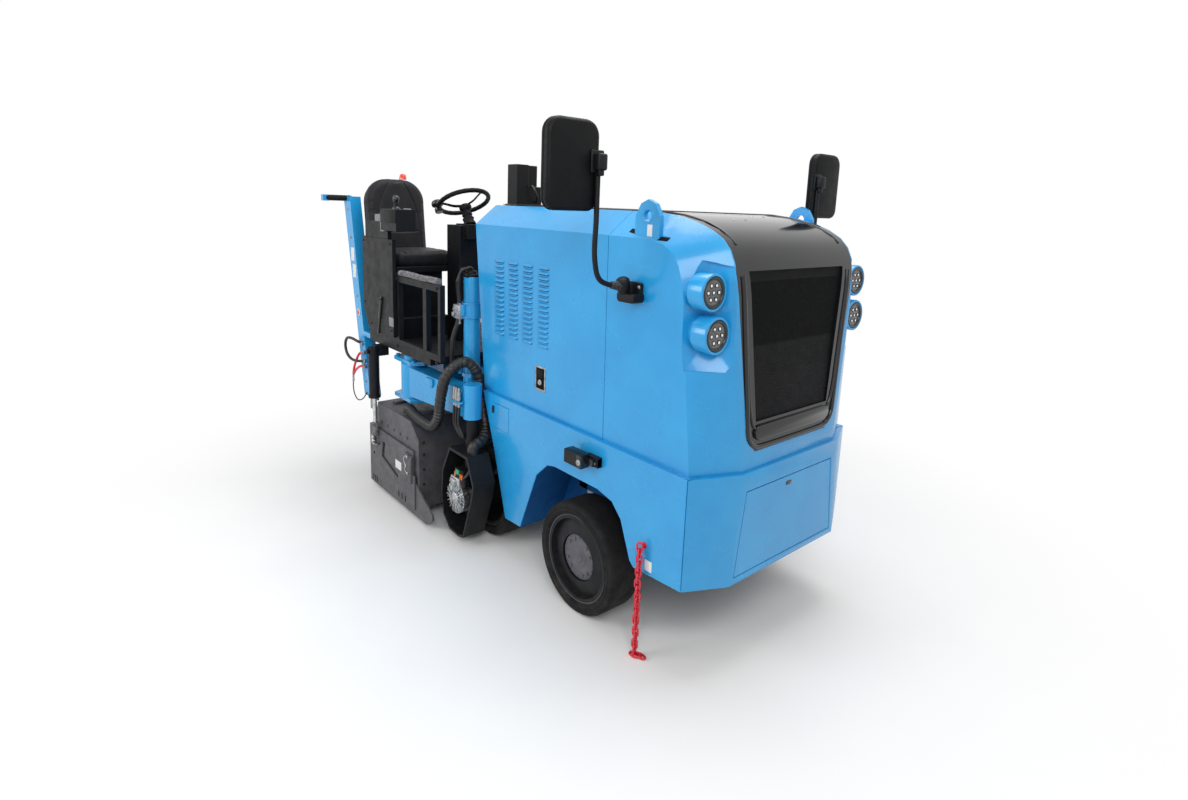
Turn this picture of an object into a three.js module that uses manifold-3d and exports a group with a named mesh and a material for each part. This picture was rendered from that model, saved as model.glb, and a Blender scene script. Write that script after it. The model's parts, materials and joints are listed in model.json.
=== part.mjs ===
// Cold planer milling machine, 0.5 m class, in mm.
// +X forward (grille end), +Y the machine's left, +Z up, floor at z = 0.
import * as THREE from 'three';
import { ConvexGeometry } from 'three/addons/geometries/ConvexGeometry.js';
import { mergeVertices } from 'three/addons/utils/BufferGeometryUtils.js';
import Module from 'manifold-3d';

const wasm = await Module();
wasm.setup();

// ---- driving dimensions ----
const touchGap = 0.3;             // between pieces that touch
const runGap = 8;                 // between pieces that move past each other
const plate = 20;                 // folded body panels, with their ribs
const frontX = 1760, rearEndX = -1664;   // the nose and the grab bar's knob
const originShift = -(frontX + rearEndX) / 2;   // brings the overall length to the middle

const tyreRadius = 290, tyreWidth = 200, rimRadius = 224, rimWall = 20, webThick = 26;
const frontWheelX = 988, frontWheelY = 572, kingpinY = 440, kingpinRadius = 38;
const rearRightX = 10, rearRightY = 488, rearLeftX = -700, rearLeftY = 520;

const beltZ = 937, skirtHalf = 625, skirtFloorZ = 424, cornerX = 1660;
const noseHalfTop = 384, noseHalfLow = 424;
const creaseZ = 1922, roofZ = 2035, hoodHalfLow = 597, hoodHalfTop = 611, roofHalf = 466;
const hoodRearLow = -5, hoodRearTop = -98, splitX = 1086;
const hoodNoseX = 1742, noseHalf = 370, hoodCornerLow = 1640;
const coverHalfTop = 458, coverHalfLow = 345, coverFloorZ = 1015, coverCorner = 62;

const drumRadius = 205, pickLength = 30, drumX = -740, drumZ = 268;
const drumLow = -836, drumHigh = -336;                     // y of the drum's two ends
const housingFront = -375, housingRear = -1095, housingTopZ = 640, housingRight = -856;
const housingLeft = -300 - touchGap;
const sidePlateY = -870, sidePlateThick = 13.4;
const deckZ = 1100, deckThick = 45, deckRight = -832, deckRear = -1180, deckFront = -250;

const seatX = -1090, seatY = -560;
const steerX = -700, steerY = -350, steerZ = 2045, steerRadius = 185;
const steerTilt = (28 * Math.PI) / 180;                     // towards the driver
const mirrorX = 1250, mirrorPostY = 830, mirrorHeadY = 943;
const mirrorWidth = 264, mirrorHeight = 366, mirrorTopZ = 2394;

// ---- solids ----
const toSolid = (geometry) => {
  const plain = geometry.index ? geometry.toNonIndexed() : geometry.clone();
  for (const name of Object.keys(plain.attributes)) {
    if (name !== 'position') plain.deleteAttribute(name);
  }
  const welded = mergeVertices(plain, 1e-3);
  return new wasm.Manifold(new wasm.Mesh({
    numProp: 3,
    vertProperties: new Float32Array(welded.attributes.position.array),
    triVerts: new Uint32Array(welded.index.array),
  }));
};
const toGeometry = (solid) => {
  const mesh = solid.getMesh();
  const geometry = new THREE.BufferGeometry();
  const points = new Float32Array(mesh.numVert * 3);
  for (let i = 0; i < mesh.numVert; i += 1) {
    for (let k = 0; k < 3; k += 1) points[3 * i + k] = mesh.vertProperties[i * mesh.numProp + k];
  }
  geometry.setAttribute('position', new THREE.BufferAttribute(points, 3));
  geometry.setIndex(new THREE.BufferAttribute(new Uint32Array(mesh.triVerts), 1));
  geometry.computeVertexNormals();
  return geometry;
};
const join = (...pieces) => toGeometry(pieces.map(toSolid).reduce((sum, next) => sum.add(next)));
const cut = (body, ...tools) => toGeometry(
  tools.map(toSolid).reduce((rest, tool) => rest.subtract(tool), toSolid(body)));
const meet = (a, b) => toGeometry(toSolid(a).intersect(toSolid(b)));

const box = ([x0, x1], [y0, y1], [z0, z1]) =>
  new THREE.BoxGeometry(x1 - x0, y1 - y0, z1 - z0)
    .translate((x0 + x1) / 2, (y0 + y1) / 2, (z0 + z1) / 2);
const hull = (points) => new ConvexGeometry(points.map((p) => new THREE.Vector3(...p)));
const shapeOf = (points, holes = []) => {
  const shape = new THREE.Shape(points.map(([a, b]) => new THREE.Vector2(a, b)));
  for (const hole of holes) {
    shape.holes.push(new THREE.Path(hole.map(([a, b]) => new THREE.Vector2(a, b))));
  }
  return shape;
};
const extrude = (points, depth, holes) =>
  new THREE.ExtrudeGeometry(shapeOf(points, holes), { depth, bevelEnabled: false });
// profile in x, z carried from y0 to y1
const alongY = (points, y0, y1, holes) =>
  extrude(points, y1 - y0, holes).rotateX(Math.PI / 2).translate(0, y1, 0);
// profile in x, y carried from z0 to z1
const alongZ = (points, z0, z1, holes) => extrude(points, z1 - z0, holes).translate(0, 0, z0);
// profile in y, z carried from x0 to x1
const alongX = (points, x0, x1, holes) =>
  extrude(points, x1 - x0, holes).rotateZ(Math.PI / 2).rotateY(Math.PI / 2).translate(x0, 0, 0);
const ring = (radius, [a, b], count = 24) => Array.from({ length: count }, (_, i) => {
  const turn = (2 * Math.PI * i) / count;
  return [a + radius * Math.cos(turn), b + radius * Math.sin(turn)];
});
// round bar between two points
const bar = (from, to, radius, sides = 16) => {
  const a = new THREE.Vector3(...from), b = new THREE.Vector3(...to);
  const geometry = new THREE.CylinderGeometry(radius, radius, a.distanceTo(b), sides);
  const turn = new THREE.Quaternion().setFromUnitVectors(
    new THREE.Vector3(0, 1, 0), b.clone().sub(a).normalize());
  const middle = a.clone().add(b).multiplyScalar(0.5);
  return geometry.applyQuaternion(turn).translate(middle.x, middle.y, middle.z);
};
// ring shape swept along a smooth line
const sweep = (points, radius, steps = 40, sides = 10, closed = false) =>
  new THREE.ExtrudeGeometry(shapeOf(ring(radius, [0, 0], sides)), {
    steps, bevelEnabled: false,
    extrudePath: new THREE.CatmullRomCurve3(
      points.map((p) => new THREE.Vector3(...p)), closed, 'centripetal'),
  });
// profile of [radius, y] turned about the y axis through (x, z)
const turned = (profile, x, y, z, segments = 40) =>
  new THREE.LatheGeometry(profile.map(([r, h]) => new THREE.Vector2(r, h)), segments)
    .translate(x, y, z);
const flip = (geometry) => {
  const copy = geometry.clone().scale(1, -1, 1);
  const index = copy.index ? Array.from(copy.index.array)
    : Array.from({ length: copy.attributes.position.count }, (_, i) => i);
  for (let i = 0; i < index.length; i += 3) [index[i], index[i + 1]] = [index[i + 1], index[i]];
  copy.setIndex(index);
  return copy;
};

// ---- finishes ----
const skyBlue = 0x3fa9e5, black = 0x17181a, gloss = 0x202226, rubber = 0x151515;
const steel = 0xb9bcbf, paleSteel = 0xd6d8da, red = 0xd3122a, darkSteel = 0x34373b;

const machine = new THREE.Group();
machine.name = 'cold_planer_milling_machine';
const add = (name, geometry, color, roughness = 0.5, metalness = 0) => {
  const clean = geometry.clone();
  const material = new THREE.MeshStandardMaterial({ color, roughness, metalness });
  material.name = name;
  const mesh = new THREE.Mesh(clean, material);
  mesh.name = name;
  mesh.position.x = originShift;
  machine.add(mesh);
};
// a right-hand piece and its mirror image
const addPair = (name, geometry, ...look) => {
  add(`${name}_right`, geometry, ...look);
  add(`${name}_left`, flip(geometry), ...look);
};

// ---- wheels: the cavity of the rim is open towards `open` (+1 is +y) ----
const tyre = (x, y, width) => turned([
  [rimRadius + touchGap, -width / 2], [tyreRadius - 14, -width / 2], [tyreRadius, -width / 2 + 14],
  [tyreRadius, width / 2 - 14], [tyreRadius - 14, width / 2], [rimRadius + touchGap, width / 2],
  [rimRadius + touchGap, -width / 2],
], x, y, tyreRadius, 48);
const rim = (x, y, width, open) => {
  const inside = width / 2 - 12, web = -width / 2 + 46;
  const profile = [
    [0, web], [120, web], [120, web - 22], [rimRadius - rimWall - 4, web - 6],
    [rimRadius - rimWall, -inside], [rimRadius, -inside], [rimRadius, inside],
    [rimRadius - rimWall, inside], [rimRadius - rimWall, web + webThick], [0, web + webThick],
  ];
  // the drawing has the web towards -y; turn it round where the cavity opens the other way
  return turned(open > 0 ? profile : profile.map(([r, h]) => [r, -h]).reverse(),
    x, y, tyreRadius, 48);
};
for (const side of [-1, 1]) {
  const label = side < 0 ? 'right' : 'left';
  add(`front_tyre_${label}`, tyre(frontWheelX, side * frontWheelY, tyreWidth), rubber, 0.9);
  add(`front_rim_${label}`, rim(frontWheelX, side * frontWheelY, tyreWidth, -side), black, 0.4);
}
const rearTyreWidth = 220;
add('rear_tyre_right', tyre(rearRightX, -rearRightY, rearTyreWidth), rubber, 0.9);
add('rear_rim_right', rim(rearRightX, -rearRightY, rearTyreWidth, -1), black, 0.4);
add('rear_tyre_left', tyre(rearLeftX, rearLeftY, rearTyreWidth), rubber, 0.9);
add('rear_rim_left', rim(rearLeftX, rearLeftY, rearTyreWidth, -1), black, 0.4);
const webOf = (width) => width / 2 - 46 - webThick;      // from the wheel's middle to its web
// ---- steering knuckles: kingpin, spindle ----
addPair('steering_knuckle', join(
  bar([frontWheelX, -kingpinY, 175], [frontWheelX, -kingpinY, 405], kingpinRadius, 24),
  bar([frontWheelX, -kingpinY, tyreRadius],
    [frontWheelX, -(frontWheelY + webOf(tyreWidth) - touchGap), tyreRadius], 55, 24),
), darkSteel, 0.6);

// ---- main frame: axle beam, two long beams, cross members ----
const axleEnd = kingpinY - kingpinRadius - touchGap;
add('chassis_frame', join(
  box([frontWheelX - 60, frontWheelX + 60], [-axleEnd, axleEnd], [225, 355]),
  box([frontWheelX - 90, frontWheelX + 90], [-150, 150], [300, 480]),
  box([-100, 1620], [-330, -230], [470, 570]), box([-100, 1620], [230, 330], [470, 570]),
  ...[-98, 500, 1540].map((x) => box([x, x + 80], [-329, 329], [471, 569])),
  box([frontWheelX - 90, frontWheelX + 90], [-329, 329], [450, 530]),
  box([560, 620], [-604.7, 604.7], [700, 760]), box([1380, 1440], [-604.7, 604.7], [700, 760]),
  box([570, 610], [-320, -260], [560, 710]), box([570, 610], [260, 320], [560, 710]),
  box([1390, 1430], [-320, -260], [560, 710]), box([1390, 1430], [260, 320], [560, 710]),
), darkSteel, 0.6);

// ---- lower body: side skirts with their wheel arches ----
const skirtLine = [
  [24, beltZ], [157, 589], [282, 213], [436, 221], [586, 591], [682, 677], [744, 691],
  [1091, 693], [1198, 669], [1265, 604], [1338, 427], [1364, 404], [cornerX - 4, skirtFloorZ],
  [cornerX - 4, beltZ],
];
const flapX = [140, 306], flapZ = [741, 891];
const archLine = skirtLine.slice(3, 12);
const liner = [...archLine, ...archLine.slice(1, -1).reverse().map(([x, z]) =>
  [frontWheelX + (x - frontWheelX) * 1.03, z + 11])];
const skirt = cut(
  join(alongY(skirtLine, -skirtHalf, -skirtHalf + plate),
    alongY(liner, -skirtHalf + 2, -skirtHalf + 90),
    box([24, cornerX - 4], [-skirtHalf + 4, -470], [beltZ - 12, beltZ]),
    box([625, 1375], [-skirtHalf + 5, -331], [740, 752]),
    box([625, 1375], [-343, -331], [575, 745])),
  box([flapX[0], flapX[1]], [-skirtHalf - 5, -skirtHalf + 8], [flapZ[0], flapZ[1]]));
addPair('side_skirt', skirt, skyBlue, 0.25);
add('skirt_flap', box([flapX[0] + 2, flapX[1] - 2], [-skirtHalf - 1, -skirtHalf + 8 - touchGap],
  [flapZ[0] + 2, flapZ[1] - 2]), skyBlue, 0.25);

// ---- lower front shell and its door ----
const nose = (half, halfSide, front, corner) => [
  [corner, -halfSide], [front, -half], [front, half], [corner, halfSide]];
const shellAt = (inset, z, half) => nose(half - inset * 0.4, skirtHalf - inset, frontX - inset,
  cornerX).map(([x, y]) => [x, y, z]);
const shellBack = cornerX + touchGap;
const shellOuter = hull([...shellAt(0, skirtFloorZ, noseHalfLow), ...shellAt(0, beltZ, noseHalfTop)]);
const shellInner = hull([
  ...shellAt(plate, skirtFloorZ - 40, noseHalfLow), ...shellAt(plate, beltZ - plate, noseHalfTop),
  [1500, -skirtHalf + plate, skirtFloorZ - 40], [1500, skirtHalf - plate, skirtFloorZ - 40],
  [1500, -skirtHalf + plate, beltZ - plate], [1500, skirtHalf - plate, beltZ - plate]]);
const doorRecess = [[-395, 455], [395, 455], [345, 850], [-345, 850]];
const doorway = [[-365, 480], [365, 480], [318, 825], [-318, 825]];
const doorPanel = [[-391, 459], [391, 459], [341, 846], [-341, 846]];
add('front_shell', cut(shellOuter, shellInner, alongX(doorRecess, frontX - 12, 1800),
  alongX(doorway, 1700, 1800)), skyBlue, 0.25);
add('front_door', alongX(doorPanel, frontX - 12 + touchGap, frontX - 1), skyBlue, 0.25);

// ---- hood: outer skin at each level, shrunk by `inset` for its inside ----
// line of the roof down the nose, and line round the front upper corner of the side
const roofNose = [[1250, 0], [1380, 13], [1480, 34], [1560, 62], [1625, 98], [1668, 142], [1694, 196],
  [1706, 262], [1712, 330]].map(([x, drop]) => [x, roofZ - drop]);
const sideCorner = [[1240, 0], [1350, 3], [1432, 20], [1490, 55], [1525, 105], [1545, 170],
  [1558, 250]].map(([x, drop]) => [x, creaseZ - drop]);
const sideHalf = (z) => hoodHalfLow
  + (hoodHalfTop - hoodHalfLow) * (z - beltZ) / (creaseZ - beltZ);
const hoodPoints = (inset) => {
  const low = inset > 0 ? beltZ - 40 : beltZ + touchGap;
  const rear = inset > 0 ? 60 : 0;
  const half = [
    [hoodRearLow - rear, hoodHalfLow - inset, low],
    [hoodCornerLow - inset, hoodHalfLow - inset, low],
    [hoodNoseX - inset, noseHalf - inset / 2, low],
    [hoodRearTop - rear, hoodHalfTop - inset, creaseZ],
    [hoodRearTop - 10 - rear, roofHalf - inset / 2, roofZ - inset],
    ...sideCorner.map(([x, z]) => [x - inset * 0.7, sideHalf(z) - inset, z - inset * 0.2]),
    ...roofNose.map(([x, z]) => [x - inset * 0.9, roofHalf - inset / 2, z - inset]),
  ];
  return half.flatMap(([x, y, z]) => [[x, y, z], [x, -y, z]]);
};
// hollow round the lamps in each front corner, grown by `grow` for the skin's inside
const pocketHigh = 1822, pocketLow = 1500, pocketFade = 1390;
const pocketWall = [[1562, 606], [1606, 512], [1652, 478], [1722, 452]];
const pocketFoot = [[1576, 600], [1641, 537], [1660, 518], [1724, 460]];
const pocket = (side, grow) => {
  const shift = ([x, y], z) => [x - 0.69 * grow, side * (y - 0.73 * grow), z];
  const far = [pocketHigh + grow, pocketFade - grow].flatMap((z) => [[1820, side * 520, z], [1640, side * 720, z]]);
  return hull([...pocketWall.map((p, i) => shift(p, pocketHigh + 36 - 12 * i + grow)),
    ...pocketWall.map((p) => shift(p, pocketLow)),
    ...pocketFoot.map((p) => shift(p, pocketFade - grow)), ...far]);
};
const hoodOuter = cut(hull(hoodPoints(0)), pocket(1, 0), pocket(-1, 0));
const hoodInner = cut(hull(hoodPoints(plate)), pocket(1, plate), pocket(-1, plate));
const hoodSkin = cut(hoodOuter, hoodInner);
const ahead = box([splitX + 2, 2000], [-900, 900], [800, 2200]);
const behind = box([-400, splitX - 2], [-900, 900], [800, 2200]);
// the black cover: a strip over the roof and down the nose
const coverZone = (grow) => join(
  box([-400, 1590], [-(coverHalfTop + grow), coverHalfTop + grow], [roofZ - 180, 2200]),
  hull([[1560, -(coverHalfTop + grow), 2200], [1560, coverHalfTop + grow, 2200],
    [2000, -(coverHalfTop + grow), 2200], [2000, coverHalfTop + grow, 2200],
    [1560, -(coverHalfTop + grow), 1800], [1560, coverHalfTop + grow, 1800],
    [2000, -(coverHalfTop + grow), 1800], [2000, coverHalfTop + grow, 1800],
    ...[1560, 2000].flatMap((x) => [-1, 1].flatMap((k) => [
      [x, k * (coverHalfLow + grow), coverFloorZ + coverCorner],
      [x, k * (coverHalfLow - coverCorner + grow), coverFloorZ - grow]]))]),
);
const lamps = [[1672, 562, 1726], [1690, 546, 1551]];
const lampRadius = 66;
const podWall = 12, barrelLength = 58, stemRadius = 22;
const podOf = ([x, y, z], radius, from, to, side) =>
  bar([from, side * y, z], [to, side * y, z], radius, 32);
// a pod narrows from its lamp back to the side of the hood
const podSolids = [-1, 1].flatMap((side) => lamps.map(([x, y, z]) => hull([
  ...ring(lampRadius + podWall, [side * y, z], 32).map(([a, b]) => [x, a, b]),
  ...ring(lampRadius - 6, [side * (y - 36), z - 4], 32).map(([a, b]) => [1528, a, b])])));
const podHoles = [-1, 1].flatMap((side) => lamps.flatMap((lamp) => [
  podOf(lamp, lampRadius + touchGap, lamp[0] - barrelLength - touchGap, lamp[0] + 60, side),
  podOf(lamp, stemRadius + touchGap, 1500, lamp[0] - barrelLength + 1, side)]));
const eyeLine = [[1240, 1890], [1390, 1890], [1388, 2020], [1358, 2070], [1315, 2088], [1272, 2070],
  [1242, 2020]];
const eyes = [-1, 1].map((side) => alongY(eyeLine, side * 583 - 12, side * 583 + 12,
  [ring(25, [1315, 2018], 20)]));
add('front_hood', cut(join(meet(hoodSkin, ahead), ...podSolids, ...eyes), coverZone(touchGap),
  ...podHoles), skyBlue, 0.25);
const grilleLine = [[-372, 1800], [-285, 1150], [285, 1150], [372, 1800]];
const grilleOpening = (grow, x0, x1) => alongX(
  [[-(372 + grow), 1808 + grow], [-(285 + grow), 1150 - grow], [285 + grow, 1150 - grow],
    [372 + grow, 1808 + grow]], x0, x1);
const coverSkin = join(
  meet(cut(hull(hoodPoints(0)), hull(hoodPoints(30))), coverZone(0)));
add('top_cover', cut(coverSkin, grilleOpening(0, 1500, 2000),
  box([-400, hoodRearTop - 12], [-900, 900], [800, 2300])), gloss, 0.15);
// side doors hinge along the roof's edge
const doorZone = (side) => hull([-400, splitX - 2].flatMap((x) => [
  [x, side * 900, beltZ - 100], [x, side * 500, beltZ - 100], [x, side * 900, 2200],
  [x, side * (coverHalfTop + 3), 2200], [x, side * (coverHalfTop + 3), 1990]]));
const sideDoor = meet(meet(hoodSkin, behind), doorZone(-1));
addPair('side_door', sideDoor, skyBlue, 0.25);
add('grille_mesh', meet(cut(hull(hoodPoints(14)), hull(hoodPoints(24))),
  grilleOpening(-touchGap, 1500, 2000)), black, 0.6);

// ---- lamps, one plate with two barrels on each side ----
addPair('headlamps', join(
  ...lamps.flatMap((lamp) => [
    podOf(lamp, lampRadius, lamp[0] - barrelLength, lamp[0] + 2, -1),
    podOf(lamp, stemRadius, 1490, lamp[0] - barrelLength + 5, -1)]),
  box([1485, 1500], [-580, -520], [1510, 1760]),
), black, 0.3);

// ---- bulkhead between the hood and the driver, battery block ----
add('battery_block', box([330, 1440], [-390, 390], [760 + touchGap, 1500]), darkSteel, 0.6);
add('rear_bulkhead', join(
  box([-18, 2], [-330, 330], [570 + touchGap, 650]),
  box([-18, 2], [-560, 560], [640, beltZ + 4]), hull([
  [-18, -560, beltZ + 2], [2, -560, beltZ + 2], [-18, 560, beltZ + 2], [2, 560, beltZ + 2],
  [-92, -575, 1900], [-72, -575, 1900], [-92, 575, 1900], [-72, 575, 1900],
  [-96, -430, 2000], [-76, -430, 2000], [-96, 430, 2000], [-76, 430, 2000]])), skyBlue, 0.3);

// ---- mirrors on swivelling arms ----
const bracketZ = 1690;
addPair('mirror_bracket', join(
  box([1225, 1335], [-636, -609.3], [1640, 1735]), box([1235, 1285], [-690, -620], [1655, 1680])),
black, 0.5);
const headLine = [[-0.5, 0.12], [-0.44, 0.04], [-0.3, 0], [0.3, 0], [0.44, 0.04], [0.5, 0.12],
  [0.5, 0.6], [0.46, 0.9], [0.38, 0.98], [0.26, 1], [-0.26, 1], [-0.38, 0.98], [-0.46, 0.9], [-0.5, 0.6]];
addPair('mirror', join(
  bar([1260, -668, 1680 + touchGap], [1260, -668, 1735], 20),
  sweep([[1260, -668, 1712], [1258, -730, 1716], [mirrorX, -800, 1745], [mirrorX, -mirrorPostY, 1830],
    [mirrorX, -mirrorPostY, 2000], [mirrorX, -mirrorPostY, 2255]], 11, 30),
  box([mirrorX - 26, mirrorX + 24], [-mirrorPostY - 30, -mirrorPostY + 18], [2190, 2270]),
  alongX(headLine.map(([a, b]) => [a * mirrorWidth - mirrorHeadY, mirrorTopZ + (b - 1) * mirrorHeight]),
    mirrorX - 62, mirrorX - 12),
), black, 0.5);

// ---- rear frame: a box open to the front, over the left rear wheel ----
const rearProfile = [[-300, 300], [385, 300], [385, 620], [610, 620], [610, deckZ - deckThick - touchGap],
  [-300, deckZ - deckThick - touchGap]];
const rearInside = [[-285, 315], [370, 315], [370, 635], [595, 635], [595, deckZ - deckThick - 15],
  [-285, deckZ - deckThick - 15]];
const pivotX = -690, pivotY = -735, columnX = -180, columnY = -585;
const hingePlate = [[-880, -310], [-880, pivotY], [-850, -800], [-610, -800], [-560, -720], [-560, -310]];
add('rear_frame', join(
  cut(alongX(rearProfile, -1090, -100 - touchGap), alongX(rearInside, -1075, -90)),
  alongZ(hingePlate, 720, 745), alongZ(hingePlate, 975, 1000),
  alongZ([[-600, -310], [-600, -420], [-245, -625], [-180, -645], [-118, -625], [-110, -560],
    [-110, -310]], 975, 1000), bar([columnX, columnY, 845], [columnX, columnY, 990], 52, 28),
  box([-870, -600], [-560, -299], [744, 976]),
  bar([pivotX, pivotY, 999], [pivotX, pivotY, 1030], 62, 24),
), skyBlue, 0.25);

// ---- swing arm with the leg of the right rear wheel ----
const legX = rearRightX, legY = -690;
add('swing_arm', join(
  bar([pivotX, pivotY, 745 + touchGap], [pivotX, pivotY, 975 - touchGap], 80, 28),
  hull([[pivotX, pivotY - 62, 760], [pivotX, pivotY + 62, 760], [pivotX, pivotY - 62, 960],
    [pivotX, pivotY + 62, 960], [legX, legY - 50, 780], [legX, legY + 50, 780],
    [legX, legY - 50, 940], [legX, legY + 50, 940]]),
  bar([legX, legY, 770], [legX, legY, 980], 56, 28),
), skyBlue, 0.25);
add('wheel_leg', join(
  bar([legX, legY, 300], [legX, legY, 770 - touchGap], 42, 24),
  bar([legX, -735, tyreRadius], [legX, -648, tyreRadius], 100, 32),
  bar([legX, -660, tyreRadius],
    [legX, -(rearRightY - webOf(rearTyreWidth) + touchGap), tyreRadius], 70, 24),
), black, 0.5);
const fins = Array.from({ length: 6 }, (_, i) =>
  bar([legX, -738 - 11 * i, tyreRadius], [legX, -743 - 11 * i, tyreRadius], 95, 28));
add('wheel_motor', join(
  bar([legX, -735 - touchGap, tyreRadius], [legX, -798, tyreRadius], 80, 28), ...fins,
  box([legX - 55, legX + 45], [-795, -740], [350, 415]),
), steel, 0.35, 0.8);
const guardLine = [[-190, -40], [-175, 130], [-85, 295], [130, 295], [205, 140], [185, 40], [85, -230],
  [30, -245], [-85, -240], [-160, -170]].map(([x, z]) => [legX + x, tyreRadius + z]);
const guardInside = guardLine.map(([x, z]) =>
  [legX + (x - legX) * 0.92, tyreRadius + (z - tyreRadius) * 0.94]);
add('motor_guard', cut(alongY(guardLine, -800, -656), alongY(guardInside, -820, -668),
  bar([legX, -700, tyreRadius], [legX, -600, tyreRadius], 100 + touchGap, 32),
  bar([legX, legY, 200], [legX, legY, 800], 42 + touchGap, 24)), black, 0.5);

// ---- columns ----
add('lifting_column', join(
  bar([columnX, columnY, 1000 + touchGap], [columnX, columnY, 1600], 52, 28),
  bar([columnX, columnY, 1355], [columnX, columnY, 1440], 62, 28)), skyBlue, 0.25);
add('rear_left_column', join(
  box([rearLeftX - 60, rearLeftX + 60], [385 + touchGap, 402], [330, 610]),
  bar([rearLeftX, 390, tyreRadius],
    [rearLeftX, rearLeftY + webOf(rearTyreWidth) - touchGap, tyreRadius], 90, 28),
), black, 0.5);

// ---- drum housing, drum, side plate, blade ----
const housingOut = [[housingRear, 75], [housingRear, 430], [-1010, housingTopZ], [-490, housingTopZ],
  [housingFront, 540], [housingFront, 75]];
const housingIn = [[housingRear - 30, 40], [housingRear - 30, 415], [housingRear + 10, 425],
  [-1003, housingTopZ - 18], [-508, housingTopZ - 18], [housingFront - 18, 532],
  [housingFront - 18, 40]];
add('drum_housing', cut(alongY(housingOut, housingRight, housingLeft),
  alongY(housingIn, housingRight + 12, housingLeft - 12)), black, 0.55);
const pickRows = 8, pickTurn = 9;
const picks = [];
for (let turn = 0; turn < pickTurn; turn += 1) {
  for (let row = 0; row < pickRows; row += 1) {
    const y = drumLow + 22 + (drumHigh - drumLow - 44) * ((row + turn / pickTurn) / pickRows);
    const angle = (2 * Math.PI * turn) / pickTurn + row * 0.35;
    picks.push(new THREE.ConeGeometry(15, pickLength + 14, 5).translate(0, drumRadius + 8, 0)
      .rotateX(Math.PI / 2).rotateY(angle).translate(drumX, y, drumZ));
  }
}
add('milling_drum', join(bar([drumX, drumLow, drumZ], [drumX, drumHigh, drumZ], drumRadius, 36),
  ...picks, bar([drumX, drumLow - 1, drumZ], [drumX, housingLeft - 12 - touchGap, drumZ], 60, 20)),
darkSteel, 0.5, 0.5);
const plateLine = [[housingRear - 35, 25], [-245, 25], [-165, 80], [-165, 116], [-430, 262],
  [-430, 455], [housingRear - 35, 455]];
const plateSlot = [[-930, 262], [-905, 380], [-860, 380], [-880, 285], [-660, 215], [-660, 190]];
add('side_plate', alongY(plateLine, sidePlateY, sidePlateY + sidePlateThick, [plateSlot]), black, 0.45);
add('scraper_blade', box([housingRear - 20, housingRear - touchGap], [housingRight + 8, housingLeft - 4],
  [30, 410]), black, 0.5);
const ramX = -985, ramY = sidePlateY - 18, ramRadius = 36, rodRadius = 14;
add('lift_cylinder', cut(join(bar([ramX, ramY, 690], [ramX, ramY, 1040], ramRadius, 20),
  box([ramX - 30, ramX + 30], [ramY, deckRight + 40], [980, deckZ - deckThick - touchGap])),
bar([ramX, ramY, 600], [ramX, ramY, 970], rodRadius + 1.5, 20)), black, 0.4);
add('cylinder_rod', join(bar([ramX, ramY, 400], [ramX, ramY, 760], rodRadius, 16),
  box([ramX - 22, ramX + 22], [ramY - 20, sidePlateY - touchGap], [345, 410])), paleSteel, 0.2, 0.9);

// ---- driver's deck, side frame, shield ----
add('platform', join(
  box([deckRear, deckFront], [deckRight, 610], [deckZ - deckThick, deckZ]),
  cut(box([deckRear, -120], [deckRight, deckRight + 32], [deckZ - 1, 1560]),
    box([-690, -345], [-900, -700], [deckZ + 40, 1520]), box([-300, -150], [-900, -700], [deckZ + 40, 1520]),
    box([-1150, -740], [-900, -700], [deckZ + 40, 1520])),
), black, 0.5);
add('side_shield', alongY([[-1215, 1290], [-1130, 1150], [-720, 1150], [-720, 1790], [-1215, 1790]],
  deckRight - 26, deckRight - touchGap), black, 0.5);
add('rear_post', join(
  hull([deckRight, -752].flatMap((y) => [[-1620, y, 2055], [-1500, y, 2055], [-1310, y, 620],
    [-1200, y, 620]])),
  bar([-1560, -790, 2040], [-1646, -952, 2040], 16, 16),
  box([rearEndX, rearEndX + 44], [-980, -936], [2018, 2062]),
  box([-1330, deckRear - touchGap], [deckRight, -760], [1060, 1095]),
), skyBlue, 0.25);

// ---- seat ----
add('seat_base', join(box([-1260, -880], [seatY - 190, seatY + 190], [deckZ + touchGap, 1240]),
  box([-1220, -900], [seatY - 150, seatY + 150], [1239, 1560]),
  box([-1290, -850], [seatY - 210, seatY + 210], [1559, 1600])), black, 0.7);
add('seat_cushion', box([-1250, -830], [seatY - 240, seatY + 240], [1600 + touchGap, 1700]), black, 0.8);
add('seat_backrest', hull([[-1330, seatY - 235, 1600.5], [-1251, seatY - 235, 1600.5],
  [-1330, seatY + 235, 1600.5], [-1251, seatY + 235, 1600.5],
  [-1400, seatY - 195, 2205], [-1330, seatY - 195, 2205],
  [-1400, seatY + 195, 2205], [-1330, seatY + 195, 2205],
  [-1372, seatY - 235, 1980], [-1295, seatY - 235, 1980],
  [-1372, seatY + 235, 1980], [-1295, seatY + 235, 1980]]), black, 0.8);

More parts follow.
